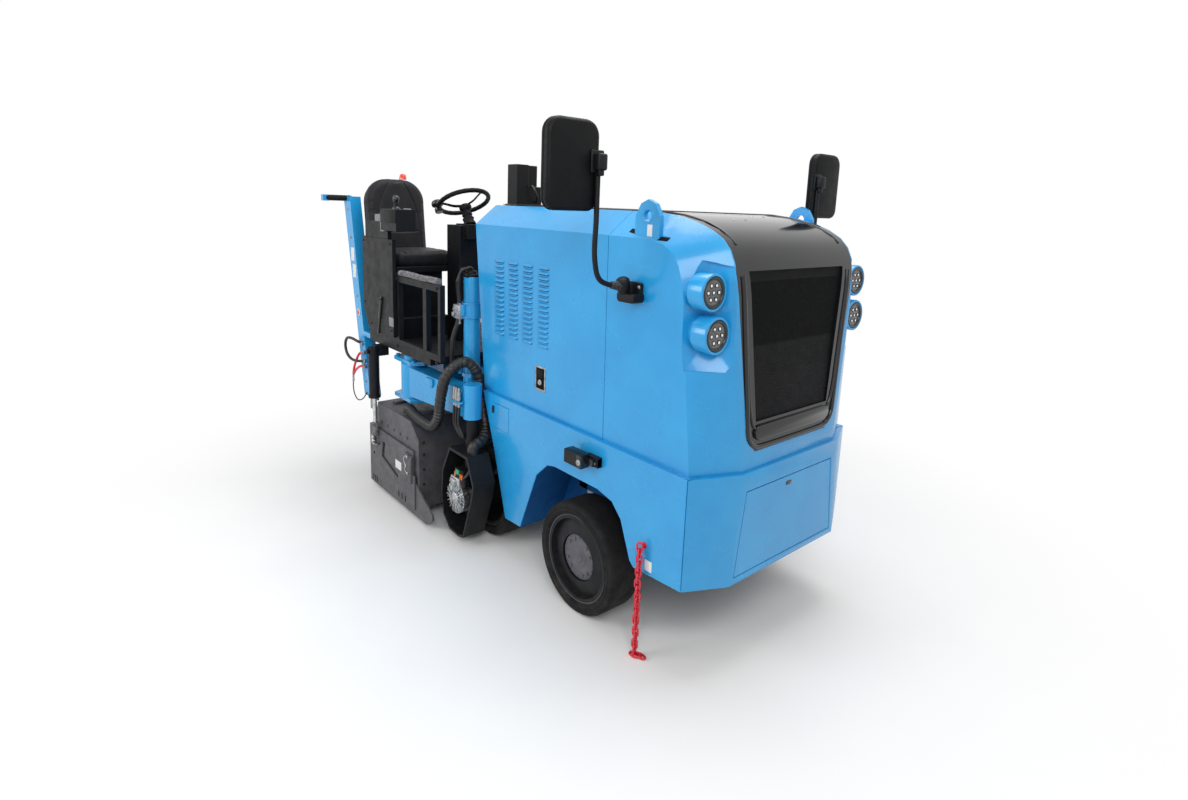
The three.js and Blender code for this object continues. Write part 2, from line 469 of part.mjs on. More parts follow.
// ---- controls ----
add('armrest_console', join(box([-790, -560], [-900, -770], [1850, 1985]),
  box([-1150, -780], [-860, -835], [1791, 1900]), box([-1150, -1100], [-860, -835], [1790 + touchGap, 1800]),
  bar([-700, -835, 1984], [-700, -835, 2050], 14, 14)), black, 0.5);
const tilted = (geometry) => geometry.rotateY(-steerTilt).translate(steerX, steerY, steerZ);
add('steering_column', join(box([-790, -610], [-430, -265], [deckZ + touchGap, 1890]),
  tilted(bar([0, 0, -200], [0, 0, -30], 26, 20)),
  box([-720, -560], [-400, -300], [1800, 1900])), black, 0.5);
add('steering_wheel', tilted(join(
  new THREE.TorusGeometry(steerRadius - 13, 13, 8, 40),
  bar([0, 0, -30 + touchGap], [0, 0, 12], 40, 20),
  ...[0, 1, 2].map((i) => (2 * Math.PI * i) / 3).map((turn) => bar([0, 0, 0],
    [(steerRadius - 13) * Math.cos(turn), (steerRadius - 13) * Math.sin(turn), 0], 9, 8)),
)), black, 0.5);

// ---- hoses, small fittings ----
const hoseRadius = 22;
add('hose_loop', sweep([[-640, -800, housingTopZ + touchGap], [-640, -800, 662], [-625, -806, 680],
  [-590, -812, 688], [-480, -822, 676], [-350, -826, 668], [-235, -826, 676], [-176, -822, 735],
  [-150, -815, 880], [-122, -800, 1000], [-92, -745, 1082], [-66, -680, 1096], [-50, -632, 1042],
  [-44, -606, 960], [-32, -604, 880], [-8, -604, 790], [30, -612, 708], [84, -652, 660],
  [110, -716, 640], [112, -745, 622], [112, -745, 604], [112, -745, 585 + touchGap]], hoseRadius, 80, 10), rubber, 0.85);
add('roof_box', join(box([-40, 60], [-430, -250], [roofZ + touchGap, 2150]),
  box([-40, 10], [-430, -250], [2149, 2275]), box([9, 60], [-430, -345], [2149, 2275])), black, 0.5);
add('skirt_lamp', join(box([925, 1055], [-705, -650], [800, 868]),
  box([1030, 1120], [-655, -skirtHalf - touchGap], [815, 862])), black, 0.4);
const linkPitch = 37, chainTop = 548, chainX = 1430, chainY = -655;
const links = Array.from({ length: 14 }, (_, i) => {
  const link = new THREE.TorusGeometry(11, 4, 6, 12).scale(1, 1.7, 1);
  return link.rotateX(Math.PI / 2).rotateZ(i % 2 ? Math.PI / 2 : 0)
    .translate(chainX, chainY, chainTop - 22 - linkPitch * i);
});
add('tie_chain', join(box([chainX - 7, chainX + 7], [chainY - 5, -skirtHalf - touchGap],
  [chainTop - 6, chainTop + 10]), ...links), red, 0.4);

export default machine;
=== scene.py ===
import json
import math
import random
import bmesh
import bpy
from mathutils import Matrix, Vector
from mathutils.bvhtree import BVHTree


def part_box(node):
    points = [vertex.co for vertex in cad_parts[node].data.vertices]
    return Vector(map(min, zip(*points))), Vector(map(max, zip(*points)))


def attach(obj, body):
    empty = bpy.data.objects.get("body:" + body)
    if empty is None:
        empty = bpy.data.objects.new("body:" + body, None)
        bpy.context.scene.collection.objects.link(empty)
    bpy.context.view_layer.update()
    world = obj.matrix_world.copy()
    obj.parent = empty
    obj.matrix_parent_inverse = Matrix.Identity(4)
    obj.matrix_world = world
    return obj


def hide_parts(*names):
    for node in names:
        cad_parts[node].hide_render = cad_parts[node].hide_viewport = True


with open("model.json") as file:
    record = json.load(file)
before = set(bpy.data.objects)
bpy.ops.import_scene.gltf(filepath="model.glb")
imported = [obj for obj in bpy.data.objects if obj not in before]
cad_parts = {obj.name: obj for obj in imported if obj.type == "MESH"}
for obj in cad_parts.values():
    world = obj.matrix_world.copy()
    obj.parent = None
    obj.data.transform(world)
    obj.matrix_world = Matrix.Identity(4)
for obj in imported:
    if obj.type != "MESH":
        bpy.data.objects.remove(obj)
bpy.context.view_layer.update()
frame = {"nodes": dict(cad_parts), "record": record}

random.seed(14)
mm = 0.001


def linear(hexColour):  # sRGB hex to the linear colour that shaders take
    parts = [int(hexColour[i:i + 2], 16) / 255 for i in (1, 3, 5)]
    return [p / 12.92 if p < 0.04045 else ((p + 0.055) / 1.055) ** 2.4 for p in parts] + [1.0]


def addNode(tree, kind, settings=None, inputs=None):  # one node, its settings and its links
    node = tree.nodes.new(kind)
    for key, value in (settings or {}).items():
        setattr(node, key, value)
    for key, value in (inputs or {}).items():
        if isinstance(value, bpy.types.NodeSocket):
            tree.links.new(value, node.inputs[key])
        else:
            node.inputs[key].default_value = value
    return node


# ---- camera ----
camera = {"place": (3.3046, -2.6321, 2.0506), "yaw": 139.252, "pitch": -10.233, "roll": 2.131,
          "lens": 19.97, "shiftDown": -0.0631}


def makeCamera():
    yaw, pitch, roll = (math.radians(camera[k]) for k in ("yaw", "pitch", "roll"))
    ahead = Vector((math.cos(pitch) * math.cos(yaw), math.cos(pitch) * math.sin(yaw), math.sin(pitch)))
    right = ahead.cross(Vector((0, 0, 1))).normalized()
    up = right.cross(ahead)
    rightRolled = right * math.cos(roll) + up * math.sin(roll)
    upRolled = up * math.cos(roll) - right * math.sin(roll)
    lensData = bpy.data.cameras.new("photoCamera")
    lensData.lens, lensData.sensor_width, lensData.shift_y = camera["lens"], 36.0, camera["shiftDown"]
    lensData.sensor_fit = "HORIZONTAL"
    lensData.clip_end = 200
    holder = bpy.data.objects.new("photoCamera", lensData)
    turn = Matrix((rightRolled, upRolled, -ahead)).transposed()
    holder.matrix_world = Matrix.Translation(camera["place"]) @ turn.to_4x4()
    bpy.context.scene.collection.objects.link(holder)
    bpy.context.scene.camera = holder


makeCamera()

# ---- stage: pale floor, soft lights ----
stage = {"floor": "#F9F8F6", "sky": "#FFFFFF", "fillLevel": 0.5, "showLevel": 1.0, "floorHalf": 60.0,
         "fadeStart": 1.5, "fadeEnd": 3.6,
         "lights": {"frontSoftbox": ((4.6, -3.6, 4.4), (0.4, 0, 1.0), 2.6, 130),
                    "sideSoftbox": ((-1.8, -6.2, 3.6), (-0.2, 0, 1.0), 2.8, 150),
                    "topSoftbox": ((0.6, 0.8, 5.6), (0.2, 0, 1.0), 3.4, 170)}}


def makeStage():
    world = bpy.data.worlds.new("studio")
    bpy.context.scene.world = world
    world.use_nodes = True
    tree = world.node_tree
    tree.nodes.clear()
    path = addNode(tree, "ShaderNodeLightPath")
    seen = addNode(tree, "ShaderNodeMath", {"operation": "MAXIMUM"},
                   {0: path.outputs["Is Camera Ray"], 1: path.outputs["Is Glossy Ray"]})
    clear = addNode(tree, "ShaderNodeMath", {"operation": "MAXIMUM"},
                    {0: seen.outputs[0], 1: path.outputs["Is Transmission Ray"]})
    light = addNode(tree, "ShaderNodeBackground", None,
                    {"Color": linear("#FFFFFF"), "Strength": stage["fillLevel"]})
    shown = addNode(tree, "ShaderNodeBackground", None,
                    {"Color": linear(stage["sky"]), "Strength": stage["showLevel"]})
    mix = addNode(tree, "ShaderNodeMixShader", None,
                  {0: clear.outputs[0], 1: light.outputs[0], 2: shown.outputs[0]})
    addNode(tree, "ShaderNodeOutputWorld", None, {"Surface": mix.outputs[0]})
    for name, (place, target, size, power) in stage["lights"].items():
        lamp = bpy.data.lights.new(name, "AREA")
        lamp.shape, lamp.size, lamp.energy = "SQUARE", size, power
        holder = bpy.data.objects.new(name, lamp)
        aim = (Vector(target) - Vector(place)).to_track_quat("-Z", "Y")
        holder.matrix_world = Matrix.Translation(place) @ aim.to_matrix().to_4x4()
        bpy.context.scene.collection.objects.link(holder)
    floorMesh = bpy.data.meshes.new("studioFloor")
    half = stage["floorHalf"]
    floorMesh.from_pydata([(-half, -half, 0), (half, -half, 0), (half, half, 0), (-half, half, 0)],
                          [], [(0, 1, 2, 3)])
    floor = bpy.data.objects.new("studioFloor", floorMesh)
    bpy.context.scene.collection.objects.link(floor)
    matte = bpy.data.materials.new("paintedFloor")
    matte.use_nodes = True
    tree = matte.node_tree
    surface = tree.nodes["Principled BSDF"]
    coords = addNode(tree, "ShaderNodeTexCoord")
    cloud = addNode(tree, "ShaderNodeTexNoise", None,
                    {"Vector": coords.outputs["Object"], "Scale": 0.9, "Detail": 6.0})
    blend = addNode(tree, "ShaderNodeMix", {"data_type": "RGBA"},
                    {0: cloud.outputs["Fac"], 6: linear("#E9EAEB"), 7: linear(stage["floor"])})
    tree.links.new(blend.outputs[2], surface.inputs["Base Color"])
    surface.inputs["Roughness"].default_value = 0.55
    surface.inputs["Specular IOR Level"].default_value = 0.25
    # away from the machine the floor fades into the white backdrop
    away = addNode(tree, "ShaderNodeVectorMath", {"operation": "LENGTH"}, {0: coords.outputs["Object"]})
    fade = addNode(tree, "ShaderNodeMapRange", {"interpolation_type": "SMOOTHSTEP"},
                   {"Value": away.outputs["Value"], 1: stage["fadeStart"], 2: stage["fadeEnd"]})
    path = addNode(tree, "ShaderNodeLightPath")
    seen = addNode(tree, "ShaderNodeMath", {"operation": "MAXIMUM"},
                   {0: path.outputs["Is Camera Ray"], 1: path.outputs["Is Glossy Ray"]})
    clear = addNode(tree, "ShaderNodeMath", {"operation": "MAXIMUM"},
                    {0: seen.outputs[0], 1: path.outputs["Is Transmission Ray"]})
    share = addNode(tree, "ShaderNodeMath", {"operation": "MULTIPLY"},
                    {0: clear.outputs[0], 1: fade.outputs[0]})
    white = addNode(tree, "ShaderNodeEmission", None, {"Color": linear(stage["sky"]), "Strength": 1.0})
    both = addNode(tree, "ShaderNodeMixShader", None,
                   {0: share.outputs[0], 1: surface.outputs[0], 2: white.outputs[0]})
    tree.links.new(both.outputs[0], tree.nodes["Material Output"].inputs["Surface"])
    floorMesh.materials.append(matte)
    bpy.context.scene.view_settings.view_transform = "Standard"


makeStage()
print("camera and stage ready")

# ---- finishes ----
# name: colours, how they vary (patch in mm), grain (mm) and its depth, gloss
finishes = {
    # two-coat gloss enamel on sheet steel: orange-peel skin, clear sharp highlights
    "skyBlueEnamel": {"base": "#2499D4", "shade": "#1D8ECB", "patch": 420, "grain": 9, "depth": 0.006,
                      "rough": (0.2, 0.3), "coat": 0.25, "ior": 1.45, "dust": ("#7FA9C4", 0.15, 380)},
    # dark metallic gloss lacquer: near-black, mirror-like where flat
    "blackLacquer": {"base": "#0D0E11", "shade": "#15161A", "patch": 500, "grain": 12, "depth": 0.01,
                     "rough": (0.1, 0.17), "coat": 0.25, "ior": 1.42},
    # satin black powder coat: fine pebble, soft wide highlights
    "blackPowderCoat": {"base": "#0E0F11", "shade": "#151619", "patch": 160, "grain": 2.4, "depth": 0.16,
                        "rough": (0.38, 0.55), "coat": 0.0, "ior": 1.5, "dust": ("#5C5A57", 0.14, 420), "specular": 0.2},
    # scuffed housing steel under worn black paint
    "wornBlackPaint": {"base": "#3E3D42", "shade": "#4C4B50", "patch": 90, "grain": 3.5, "depth": 0.22,
                       "rough": (0.4, 0.62), "coat": 0.0, "ior": 1.5, "dust": ("#6B6863", 0.55, 330)},
    # dark grey primer on castings and long beams
    "greyPrimer": {"base": "#1B2027", "shade": "#242A32", "patch": 140, "grain": 4, "depth": 0.18,
                   "rough": (0.5, 0.68), "coat": 0.0, "ior": 1.5, "dust": ("#5A5855", 0.4, 420), "specular": 0.15},
    # grained ABS moulding: leather-like pips
    "blackMoulding": {"base": "#0A0B0C", "shade": "#101113", "patch": 120, "grain": 1.8, "depth": 0.2,
                      "rough": (0.42, 0.56), "coat": 0.0, "ior": 1.46, "specular": 0.16},
    # smooth black plastic of lamp bodies and covers
    "glossPlastic": {"base": "#101113", "shade": "#15171A", "patch": 60, "grain": 6, "depth": 0.03,
                     "rough": (0.16, 0.26), "coat": 0.2, "ior": 1.46},
    # solid rubber tyre: matt, dusty tread, fine scuffs
    "solidRubber": {"base": "#101011", "shade": "#1A1A1A", "patch": 70, "grain": 5, "depth": 0.35,
                    "rough": (0.68, 0.88), "coat": 0.0, "ior": 1.5, "dust": ("#4F4C48", 0.4, 210), "specular": 0.2},
    # ribbed hose sheath, woven and dusty
    "hoseSheath": {"base": "#141314", "shade": "#201F1F", "patch": 35, "grain": 1.6, "depth": 0.4,
                   "rough": (0.34, 0.52), "coat": 0.0, "ior": 1.5, "specular": 0.45},
    # seat vinyl: fine leather grain, soft sheen
    "seatVinyl": {"base": "#17171A", "shade": "#202023", "patch": 80, "grain": 2.6, "depth": 0.3,
                  "rough": (0.42, 0.6), "coat": 0.0, "ior": 1.48, "sheen": 0.06, "specular": 0.2},
    # cast aluminium motor: bright, sandy skin
    "castAluminium": {"base": "#C9CBCD", "shade": "#9FA2A5", "patch": 30, "grain": 2.2, "depth": 0.35,
                      "rough": (0.3, 0.5), "metallic": 1.0},
    # zinc-plated fittings and bolts
    "zincPlate": {"base": "#B9BABB", "shade": "#8D8E90", "patch": 18, "grain": 2, "depth": 0.15,
                  "rough": (0.25, 0.4), "metallic": 1.0},
    # hard-chromed rod, a little scratched
    "chromedRod": {"base": "#D9DADB", "shade": "#B4B5B7", "patch": 40, "grain": 3, "depth": 0.12,
                   "rough": (0.12, 0.24), "metallic": 1.0},
    # drum steel worn by the cut
    "wornSteel": {"base": "#5A544E", "shade": "#7C736A", "patch": 24, "grain": 3, "depth": 0.5,
                  "rough": (0.42, 0.7), "metallic": 0.8},
    # hub plates, thinly painted cast iron
    "hubGrey": {"base": "#4A484E", "shade": "#5A585E", "patch": 60, "grain": 3, "depth": 0.25,
                "rough": (0.4, 0.6), "coat": 0.0, "ior": 1.5, "specular": 0.35},
    # darker blue in the depth of the wheel arches: painted shade, standing in for the shadow there
    "archShadeBlue": {"base": "#0F5592", "shade": "#0C4A82", "patch": 160, "grain": 5, "depth": 0.1,
                 "rough": (0.5, 0.7), "coat": 0.0, "ior": 1.45, "specular": 0.15},
    # foam sleeve, torn and dusty
    "greyFoam": {"base": "#4E4D51", "shade": "#8A898D", "patch": 14, "grain": 4, "depth": 0.7,
                 "rough": (0.8, 0.95), "coat": 0.0, "ior": 1.45, "specular": 0.2},
    # chain in red enamel
    "redEnamel": {"base": "#DC1532", "shade": "#C10F2A", "patch": 20, "grain": 4, "depth": 0.05,
                  "rough": (0.25, 0.4), "coat": 0.3, "ior": 1.5},
    # blank plates and stickers
    "whiteLabel": {"base": "#DADBDC", "shade": "#CFD0D2", "patch": 30, "grain": 3, "depth": 0.03,
                   "rough": (0.35, 0.45), "coat": 0.0, "ior": 1.46},
    "greyPlate": {"base": "#85868A", "shade": "#77787C", "patch": 30, "grain": 2, "depth": 0.08,
                  "rough": (0.35, 0.5), "metallic": 0.6},
    # moulded reflector and lens colours
    "orangeReflector": {"base": "#E8401C", "shade": "#D13412", "patch": 8, "grain": 2, "depth": 0.25,
                        "rough": (0.12, 0.2), "coat": 0.6, "ior": 1.49},
    "redLens": {"base": "#8E1512", "shade": "#A31C16", "patch": 14, "grain": 4, "depth": 0.05,
                "rough": (0.12, 0.2), "coat": 0.6, "ior": 1.49},
    "lampGrey": {"base": "#4A4A49", "shade": "#565655", "patch": 16, "grain": 3, "depth": 0.05,
                 "rough": (0.2, 0.32), "coat": 0.4, "ior": 1.49},
    "lampPearl": {"base": "#F2F3F3", "shade": "#E4E6E8", "patch": 6, "grain": 2, "depth": 0.02,
                  "rough": (0.08, 0.14), "coat": 0.6, "ior": 1.49},
    "mirrorGlass": {"base": "#C9CDD0", "shade": "#C3C7CA", "patch": 80, "grain": 20, "depth": 0.0,
                    "rough": (0.03, 0.05), "metallic": 1.0},
    # near-black for slots, holes, recesses, seams and the screen behind the grille: painted shade standing in for the
    # shadow inside them
    "paintedGapShade": {"base": "#08090A", "shade": "#0C0D0E", "patch": 40, "grain": 4, "depth": 0.1,
                "rough": (0.7, 0.85), "coat": 0.0, "ior": 1.45, "specular": 0.1},
    "greenPlug": {"base": "#1E9C6B", "shade": "#178559", "patch": 12, "grain": 3, "depth": 0.05,
                  "rough": (0.3, 0.4), "coat": 0.1, "ior": 1.46},
    "orangePlug": {"base": "#E8702A", "shade": "#D4611D", "patch": 12, "grain": 3, "depth": 0.05,
                   "rough": (0.3, 0.4), "coat": 0.1, "ior": 1.46},
}


def makeFinish(name, look):
    material = bpy.data.materials.new(name)
    material.use_nodes = True
    tree = material.node_tree
    surface = tree.nodes["Principled BSDF"]
    coords = addNode(tree, "ShaderNodeTexCoord")
    patches = addNode(tree, "ShaderNodeTexNoise", None, {
        "Vector": coords.outputs["Object"], "Scale": 1000 / look["patch"], "Detail": 5.0, "Roughness": 0.6})
    spread = addNode(tree, "ShaderNodeMapRange", None,
                     {"Value": patches.outputs["Fac"], 1: 0.36, 2: 0.64})
    colour = addNode(tree, "ShaderNodeMix", {"data_type": "RGBA"},
                     {0: spread.outputs[0], 6: linear(look["base"]), 7: linear(look["shade"])})
    shown = colour.outputs[2]
    dirt = None
    if "dust" in look:  # settles low down, where the road throws it
        dustColour, most, reach = look["dust"]
        height = addNode(tree, "ShaderNodeSeparateXYZ", None, {0: coords.outputs["Object"]})
        fade = addNode(tree, "ShaderNodeMapRange", None,
                       {"Value": height.outputs["Z"], 1: 0.0, 2: reach * mm * 2.2, 3: most, 4: 0.0})
        streak = addNode(tree, "ShaderNodeTexNoise", None, {
            "Vector": coords.outputs["Object"], "Scale": 14.0, "Detail": 8.0, "Roughness": 0.7})
        lift = addNode(tree, "ShaderNodeMapRange", None,
                       {"Value": streak.outputs["Fac"], 1: 0.42, 2: 0.7})
        dirt = addNode(tree, "ShaderNodeMath", {"operation": "MULTIPLY"},
                       {0: fade.outputs[0], 1: lift.outputs[0]})
        dusty = addNode(tree, "ShaderNodeMix", {"data_type": "RGBA"},
                        {0: dirt.outputs[0], 6: shown, 7: linear(dustColour)})
        shown = dusty.outputs[2]
    tree.links.new(shown, surface.inputs["Base Color"])
    smooth, rubbed = look["rough"]
    wear = addNode(tree, "ShaderNodeTexNoise", None, {
        "Vector": coords.outputs["Object"], "Scale": 1000 / (look["patch"] * 0.35), "Detail": 6.0})
    gloss = addNode(tree, "ShaderNodeMapRange", None,
                    {"Value": wear.outputs["Fac"], 1: 0.3, 2: 0.7, 3: smooth, 4: rubbed})
    tree.links.new(gloss.outputs[0], surface.inputs["Roughness"])
    if look["depth"]:
        grain = addNode(tree, "ShaderNodeTexNoise", None, {
            "Vector": coords.outputs["Object"], "Scale": 1000 / look["grain"], "Detail": 2.0})
        relief = addNode(tree, "ShaderNodeBump", None, {
            "Height": grain.outputs["Fac"], "Strength": min(1.0, look["depth"]),
            "Distance": look["grain"] * mm * 0.25})
        tree.links.new(relief.outputs[0], surface.inputs["Normal"])
    surface.inputs["Metallic"].default_value = look.get("metallic", 0.0)
    if "ior" in look:
        surface.inputs["IOR"].default_value = look["ior"]
    surface.inputs["Specular IOR Level"].default_value = look.get("specular", 0.5)
    surface.inputs["Coat Weight"].default_value = look.get("coat", 0.0)
    surface.inputs["Coat Roughness"].default_value = 0.06
    surface.inputs["Sheen Weight"].default_value = look.get("sheen", 0.0)
    return material


finish = {name: makeFinish(name, look) for name, look in finishes.items()}
print("finishes ready:", len(finish))


def boxOf(node):  # a CAD node's low and high corners in mm
    low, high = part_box(node)
    return Vector(low) * 1000, Vector(high) * 1000


def newPiece(name, bm, look, body, sharp=32, replaced=()):
    bmesh.ops.remove_doubles(bm, verts=bm.verts, dist=2e-6)
    mesh = bpy.data.meshes.new(name)
    bm.to_mesh(mesh)
    bm.free()
    mesh.materials.append(finish[look])
    mesh.polygons.foreach_set("use_smooth", [True] * len(mesh.polygons))
    mesh.set_sharp_from_angle(angle=math.radians(sharp))
    piece = bpy.data.objects.new(name, mesh)
    bpy.context.scene.collection.objects.link(piece)
    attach(piece, body)
    if replaced:
        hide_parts(*replaced)
    return piece


def addInto(bm, part, turn=None):  # puts a finished small shape, made in mm, into a piece
    if turn is not None:
        part.transform(turn)
    part.transform(Matrix.Scale(mm, 4))
    held = bpy.data.meshes.new("held")
    part.to_mesh(held)
    part.free()
    bm.from_mesh(held)
    bpy.data.meshes.remove(held)


def facing(at, out, up=(0, 0, 1)):  # local x across, y up, z out of the surface
    outward = Vector(out).normalized()
    across = Vector(up).cross(outward).normalized()
    return Matrix.Translation(at) @ Matrix((across, outward.cross(across), outward)).transposed().to_4x4()


def slab(bm, low, high, edge=2.0, turn=None, segments=2):  # a block with rounded edges
    part = bmesh.new()
    bmesh.ops.create_cube(part, size=1.0)
    low, high = Vector(low), Vector(high)
    part.transform(Matrix.Translation((low + high) / 2) @ Matrix.Diagonal((*(high - low), 1.0)))
    bmesh.ops.bevel(part, geom=part.edges[:], offset=edge, segments=segments, profile=0.5, affect="EDGES")
    addInto(bm, part, turn)


def prism(bm, outline, low, high, edge=1.5, turn=None):  # an outline drawn across and up, made solid
    part = bmesh.new()
    face = part.faces.new([part.verts.new((a, b, low)) for a, b in outline])
    raised = bmesh.ops.extrude_face_region(part, geom=[face])["geom"]
    for v in raised:
        if isinstance(v, bmesh.types.BMVert):
            v.co.z = high
    bmesh.ops.recalc_face_normals(part, faces=part.faces[:])
    if edge:
        rims = [e for e in part.edges if abs(e.verts[0].co.z - e.verts[1].co.z) < 1e-6]
        bmesh.ops.bevel(part, geom=rims, offset=edge, segments=2, profile=0.5, affect="EDGES")
    addInto(bm, part, turn)


def roundRect(width, height, corner, steps=5):
    points = []
    for cx, cy, start in ((1, 1, 0), (-1, 1, 90), (-1, -1, 180), (1, -1, 270)):
        for k in range(steps + 1):
            a = math.radians(start + 90 * k / steps)
            points.append((cx * (width / 2 - corner) + corner * math.cos(a),
                           cy * (height / 2 - corner) + corner * math.sin(a)))
    return points


def lathe(bm, profile, at, axis, steps=32, looped=False, start=0.0):  # (along, radius) pairs turned round
    axis = Vector(axis).normalized()
    side = axis.orthogonal().normalized()
    other = axis.cross(side)
    part = bmesh.new()
    rings = []
    for along, radius in profile:
        centre = Vector(at) + axis * along
        turns = [start + math.tau * k / steps for k in range(steps)]
        rings.append([part.verts.new(centre)] if radius < 1e-6 else [
            part.verts.new(centre + (side * math.cos(a) + other * math.sin(a)) * radius) for a in turns])
    pairs = list(zip(rings, rings[1:]))
    if looped:
        pairs.append((rings[-1], rings[0]))
    for low, high in pairs:
        for k in range(steps):
            n = (k + 1) % steps
            corners = [low[k % len(low)], low[n % len(low)], high[n % len(high)], high[k % len(high)]]
            corners = list(dict.fromkeys(corners))
            if len(corners) > 2:
                part.faces.new(corners)
    if not looped:
        for end in (rings[0], rings[-1]):
            if len(end) > 2:
                part.faces.new(end)
    bmesh.ops.recalc_face_normals(part, faces=part.faces[:])
    addInto(bm, part)


def smoothPath(points, every=8.0):  # a smooth line through the points, a step about every so many mm
    pts = [Vector(p) for p in points]
    ends = [pts[0] * 2 - pts[1], *pts, pts[-1] * 2 - pts[-2]]
    line = []
    for p0, p1, p2, p3 in zip(ends, ends[1:], ends[2:], ends[3:]):
        t1 = max((p1 - p0).length, 1e-6) ** 0.5
        t2 = t1 + max((p2 - p1).length, 1e-6) ** 0.5
        t3 = t2 + max((p3 - p2).length, 1e-6) ** 0.5
        count = max(1, round((p2 - p1).length / every))
        for k in range(count):
            t = t1 + (t2 - t1) * k / count
            a1 = p0 * ((t1 - t) / t1) + p1 * (t / t1)
            a2 = p1 * ((t2 - t) / (t2 - t1)) + p2 * ((t - t1) / (t2 - t1))
            a3 = p2 * ((t3 - t) / (t3 - t2)) + p3 * ((t - t2) / (t3 - t2))
            b1 = a1 * ((t2 - t) / t2) + a2 * (t / t2)
            b2 = a2 * ((t3 - t) / (t3 - t1)) + a3 * ((t - t1) / (t3 - t1))
            line.append(b1 * ((t2 - t) / (t2 - t1)) + b2 * ((t - t1) / (t2 - t1)))
    line.append(pts[-1])
    return line


def tube(bm, line, radius, steps=12, closed=False, squash=1.0):  # radius: mm, or a function of mm along
    part = bmesh.new()
    across = (line[1] - line[0]).orthogonal().normalized()
    rings, run = [], 0.0
    last = len(line) - 1
    for k, p in enumerate(line):
        if closed:
            along = (line[(k + 1) % len(line)] - line[k - 1]).normalized()
        else:
            along = (line[min(k + 1, last)] - line[max(k - 1, 0)]).normalized()
        across = (across - along * across.dot(along)).normalized()
        other = along.cross(across)
        run += (p - line[k - 1]).length if k else 0.0
        r = radius(run) if callable(radius) else radius
        rings.append([part.verts.new(p + (across * math.cos(a) + other * math.sin(a) * squash) * r)
                      for a in (math.tau * n / steps for n in range(steps))])
    pairs = list(zip(rings, rings[1:])) + ([(rings[-1], rings[0])] if closed else [])
    for low, high in pairs:
        for n in range(steps):
            part.faces.new((low[n], low[(n + 1) % steps], high[(n + 1) % steps], high[n]))
    if not closed:
        part.faces.new(rings[0])
        part.faces.new(rings[-1])
    bmesh.ops.recalc_face_normals(part, faces=part.faces[:])
    addInto(bm, part)


def bolt(bm, at, axis, across=16.0, height=None):  # hexagon head on a washer
    height = height or across * 0.55
    washer = across * 0.78
    lathe(bm, [(-1, washer), (across * 0.1, washer), (across * 0.13, washer * 0.94)], at, axis, 20)
    r = across / math.sqrt(3)
    lathe(bm, [(0, r), (height * 0.86, r), (height, r * 0.86)], at, axis, 6)


def screw(bm, at, axis, radius=5.0):  # low round head with a socket
    lathe(bm, [(-1, radius), (radius * 0.35, radius), (radius * 0.6, radius * 0.8),
               (radius * 0.62, radius * 0.45), (radius * 0.3, radius * 0.4)], at, axis, 16)


skins = {}


def touch(node, start, direction):  # where a straight line meets a CAD node: place in mm, and the way it faces
    if node not in skins:
        mesh = frame["nodes"][node].data
        skins[node] = BVHTree.FromPolygons([v.co for v in mesh.vertices], [p.vertices for p in mesh.polygons])
    place, normal, _, _ = skins[node].ray_cast(Vector(start) * mm, Vector(direction))
    if place is None:
        raise ValueError(f"nothing of {node} from {start}")
    return place * 1000, normal


def soften(node, look, body, width=3.0, sharp=26, flat=1.5, name=None):  # the same solid with eased edges
    source = frame["nodes"][node].data
    bm = bmesh.new()
    bm.from_mesh(source)
    bmesh.ops.remove_doubles(bm, verts=bm.verts, dist=1e-5)
    bmesh.ops.dissolve_limit(bm, angle_limit=math.radians(flat), verts=bm.verts[:], edges=bm.edges[:])
    if width:
        # an edge is eased only where the faces beside it have room
        rims = [e for e in bm.edges if e.is_manifold and e.calc_face_angle(0) > math.radians(sharp)
                and e.calc_length() > width * mm * 0.6]
        bmesh.ops.bevel(bm, geom=rims, offset=width * mm, segments=2, profile=0.6, affect="EDGES",
                        clamp_overlap=True, harden_normals=False)
    piece = newPiece(name or node + ".skin", bm, look, body, 34, (node,))
    weigh = piece.modifiers.new("evenShade", "WEIGHTED_NORMAL")
    weigh.keep_sharp = True
    return piece


bodyOf = {node: body for body, nodes in frame["record"]["behaviour"]["bodies"].items() for node in nodes}
# ---- the large protective hose, in its corrugated sheath ----
hose = {"radius": 33.0, "rib": 19.0, "ribDepth": 2.8, "wrapDepth": 3.4, "fold": 31.0,
        "route": [(-688, -800, 640.3), (-688, -800, 662), (-673, -806, 680), (-638, -812, 688),
                  (-528, -822, 676), (-398, -826, 668), (-283, -826, 676), (-224, -822, 735),
                  (-198, -815, 880), (-170, -800, 1000), (-140, -745, 1082), (-114, -680, 1096),
                  (-98, -632, 1042), (-92, -606, 960), (-80, -604, 880), (-56, -604, 790),
                  (-18, -612, 708), (36, -652, 660), (62, -716, 640), (64, -745, 622), (64, -745, 604),
                  (64, -745, 585.3)]}


def makeHose():
    line = smoothPath(hose["route"], 2.6)
    bands = [random.uniform(-1, 1) for _ in range(200)]

    def sheath(run):  # even ribs low down, wrinkled wrap over the crown and the far leg
        wrapped = min(1.0, max(0.0, (run - 560) / 60))
        rib = hose["ribDepth"] * math.cos(math.tau * run / hose["rib"])
        k = run / 26
        fold = bands[int(k) % 200] * (1 - k % 1) + bands[(int(k) + 1) % 200] * (k % 1)
        crease = abs(math.cos(math.pi * run / hose["fold"] + fold)) * hose["wrapDepth"]
        return hose["radius"] - 2.4 + (1 - wrapped) * rib + wrapped * (fold * 1.6 + crease)

    bm = bmesh.new()
    tube(bm, line, sheath, 20)
    piece = newPiece("hoseSheath", bm, "hoseSheath", "machine", 70, ("hose_loop",))


makeHose()

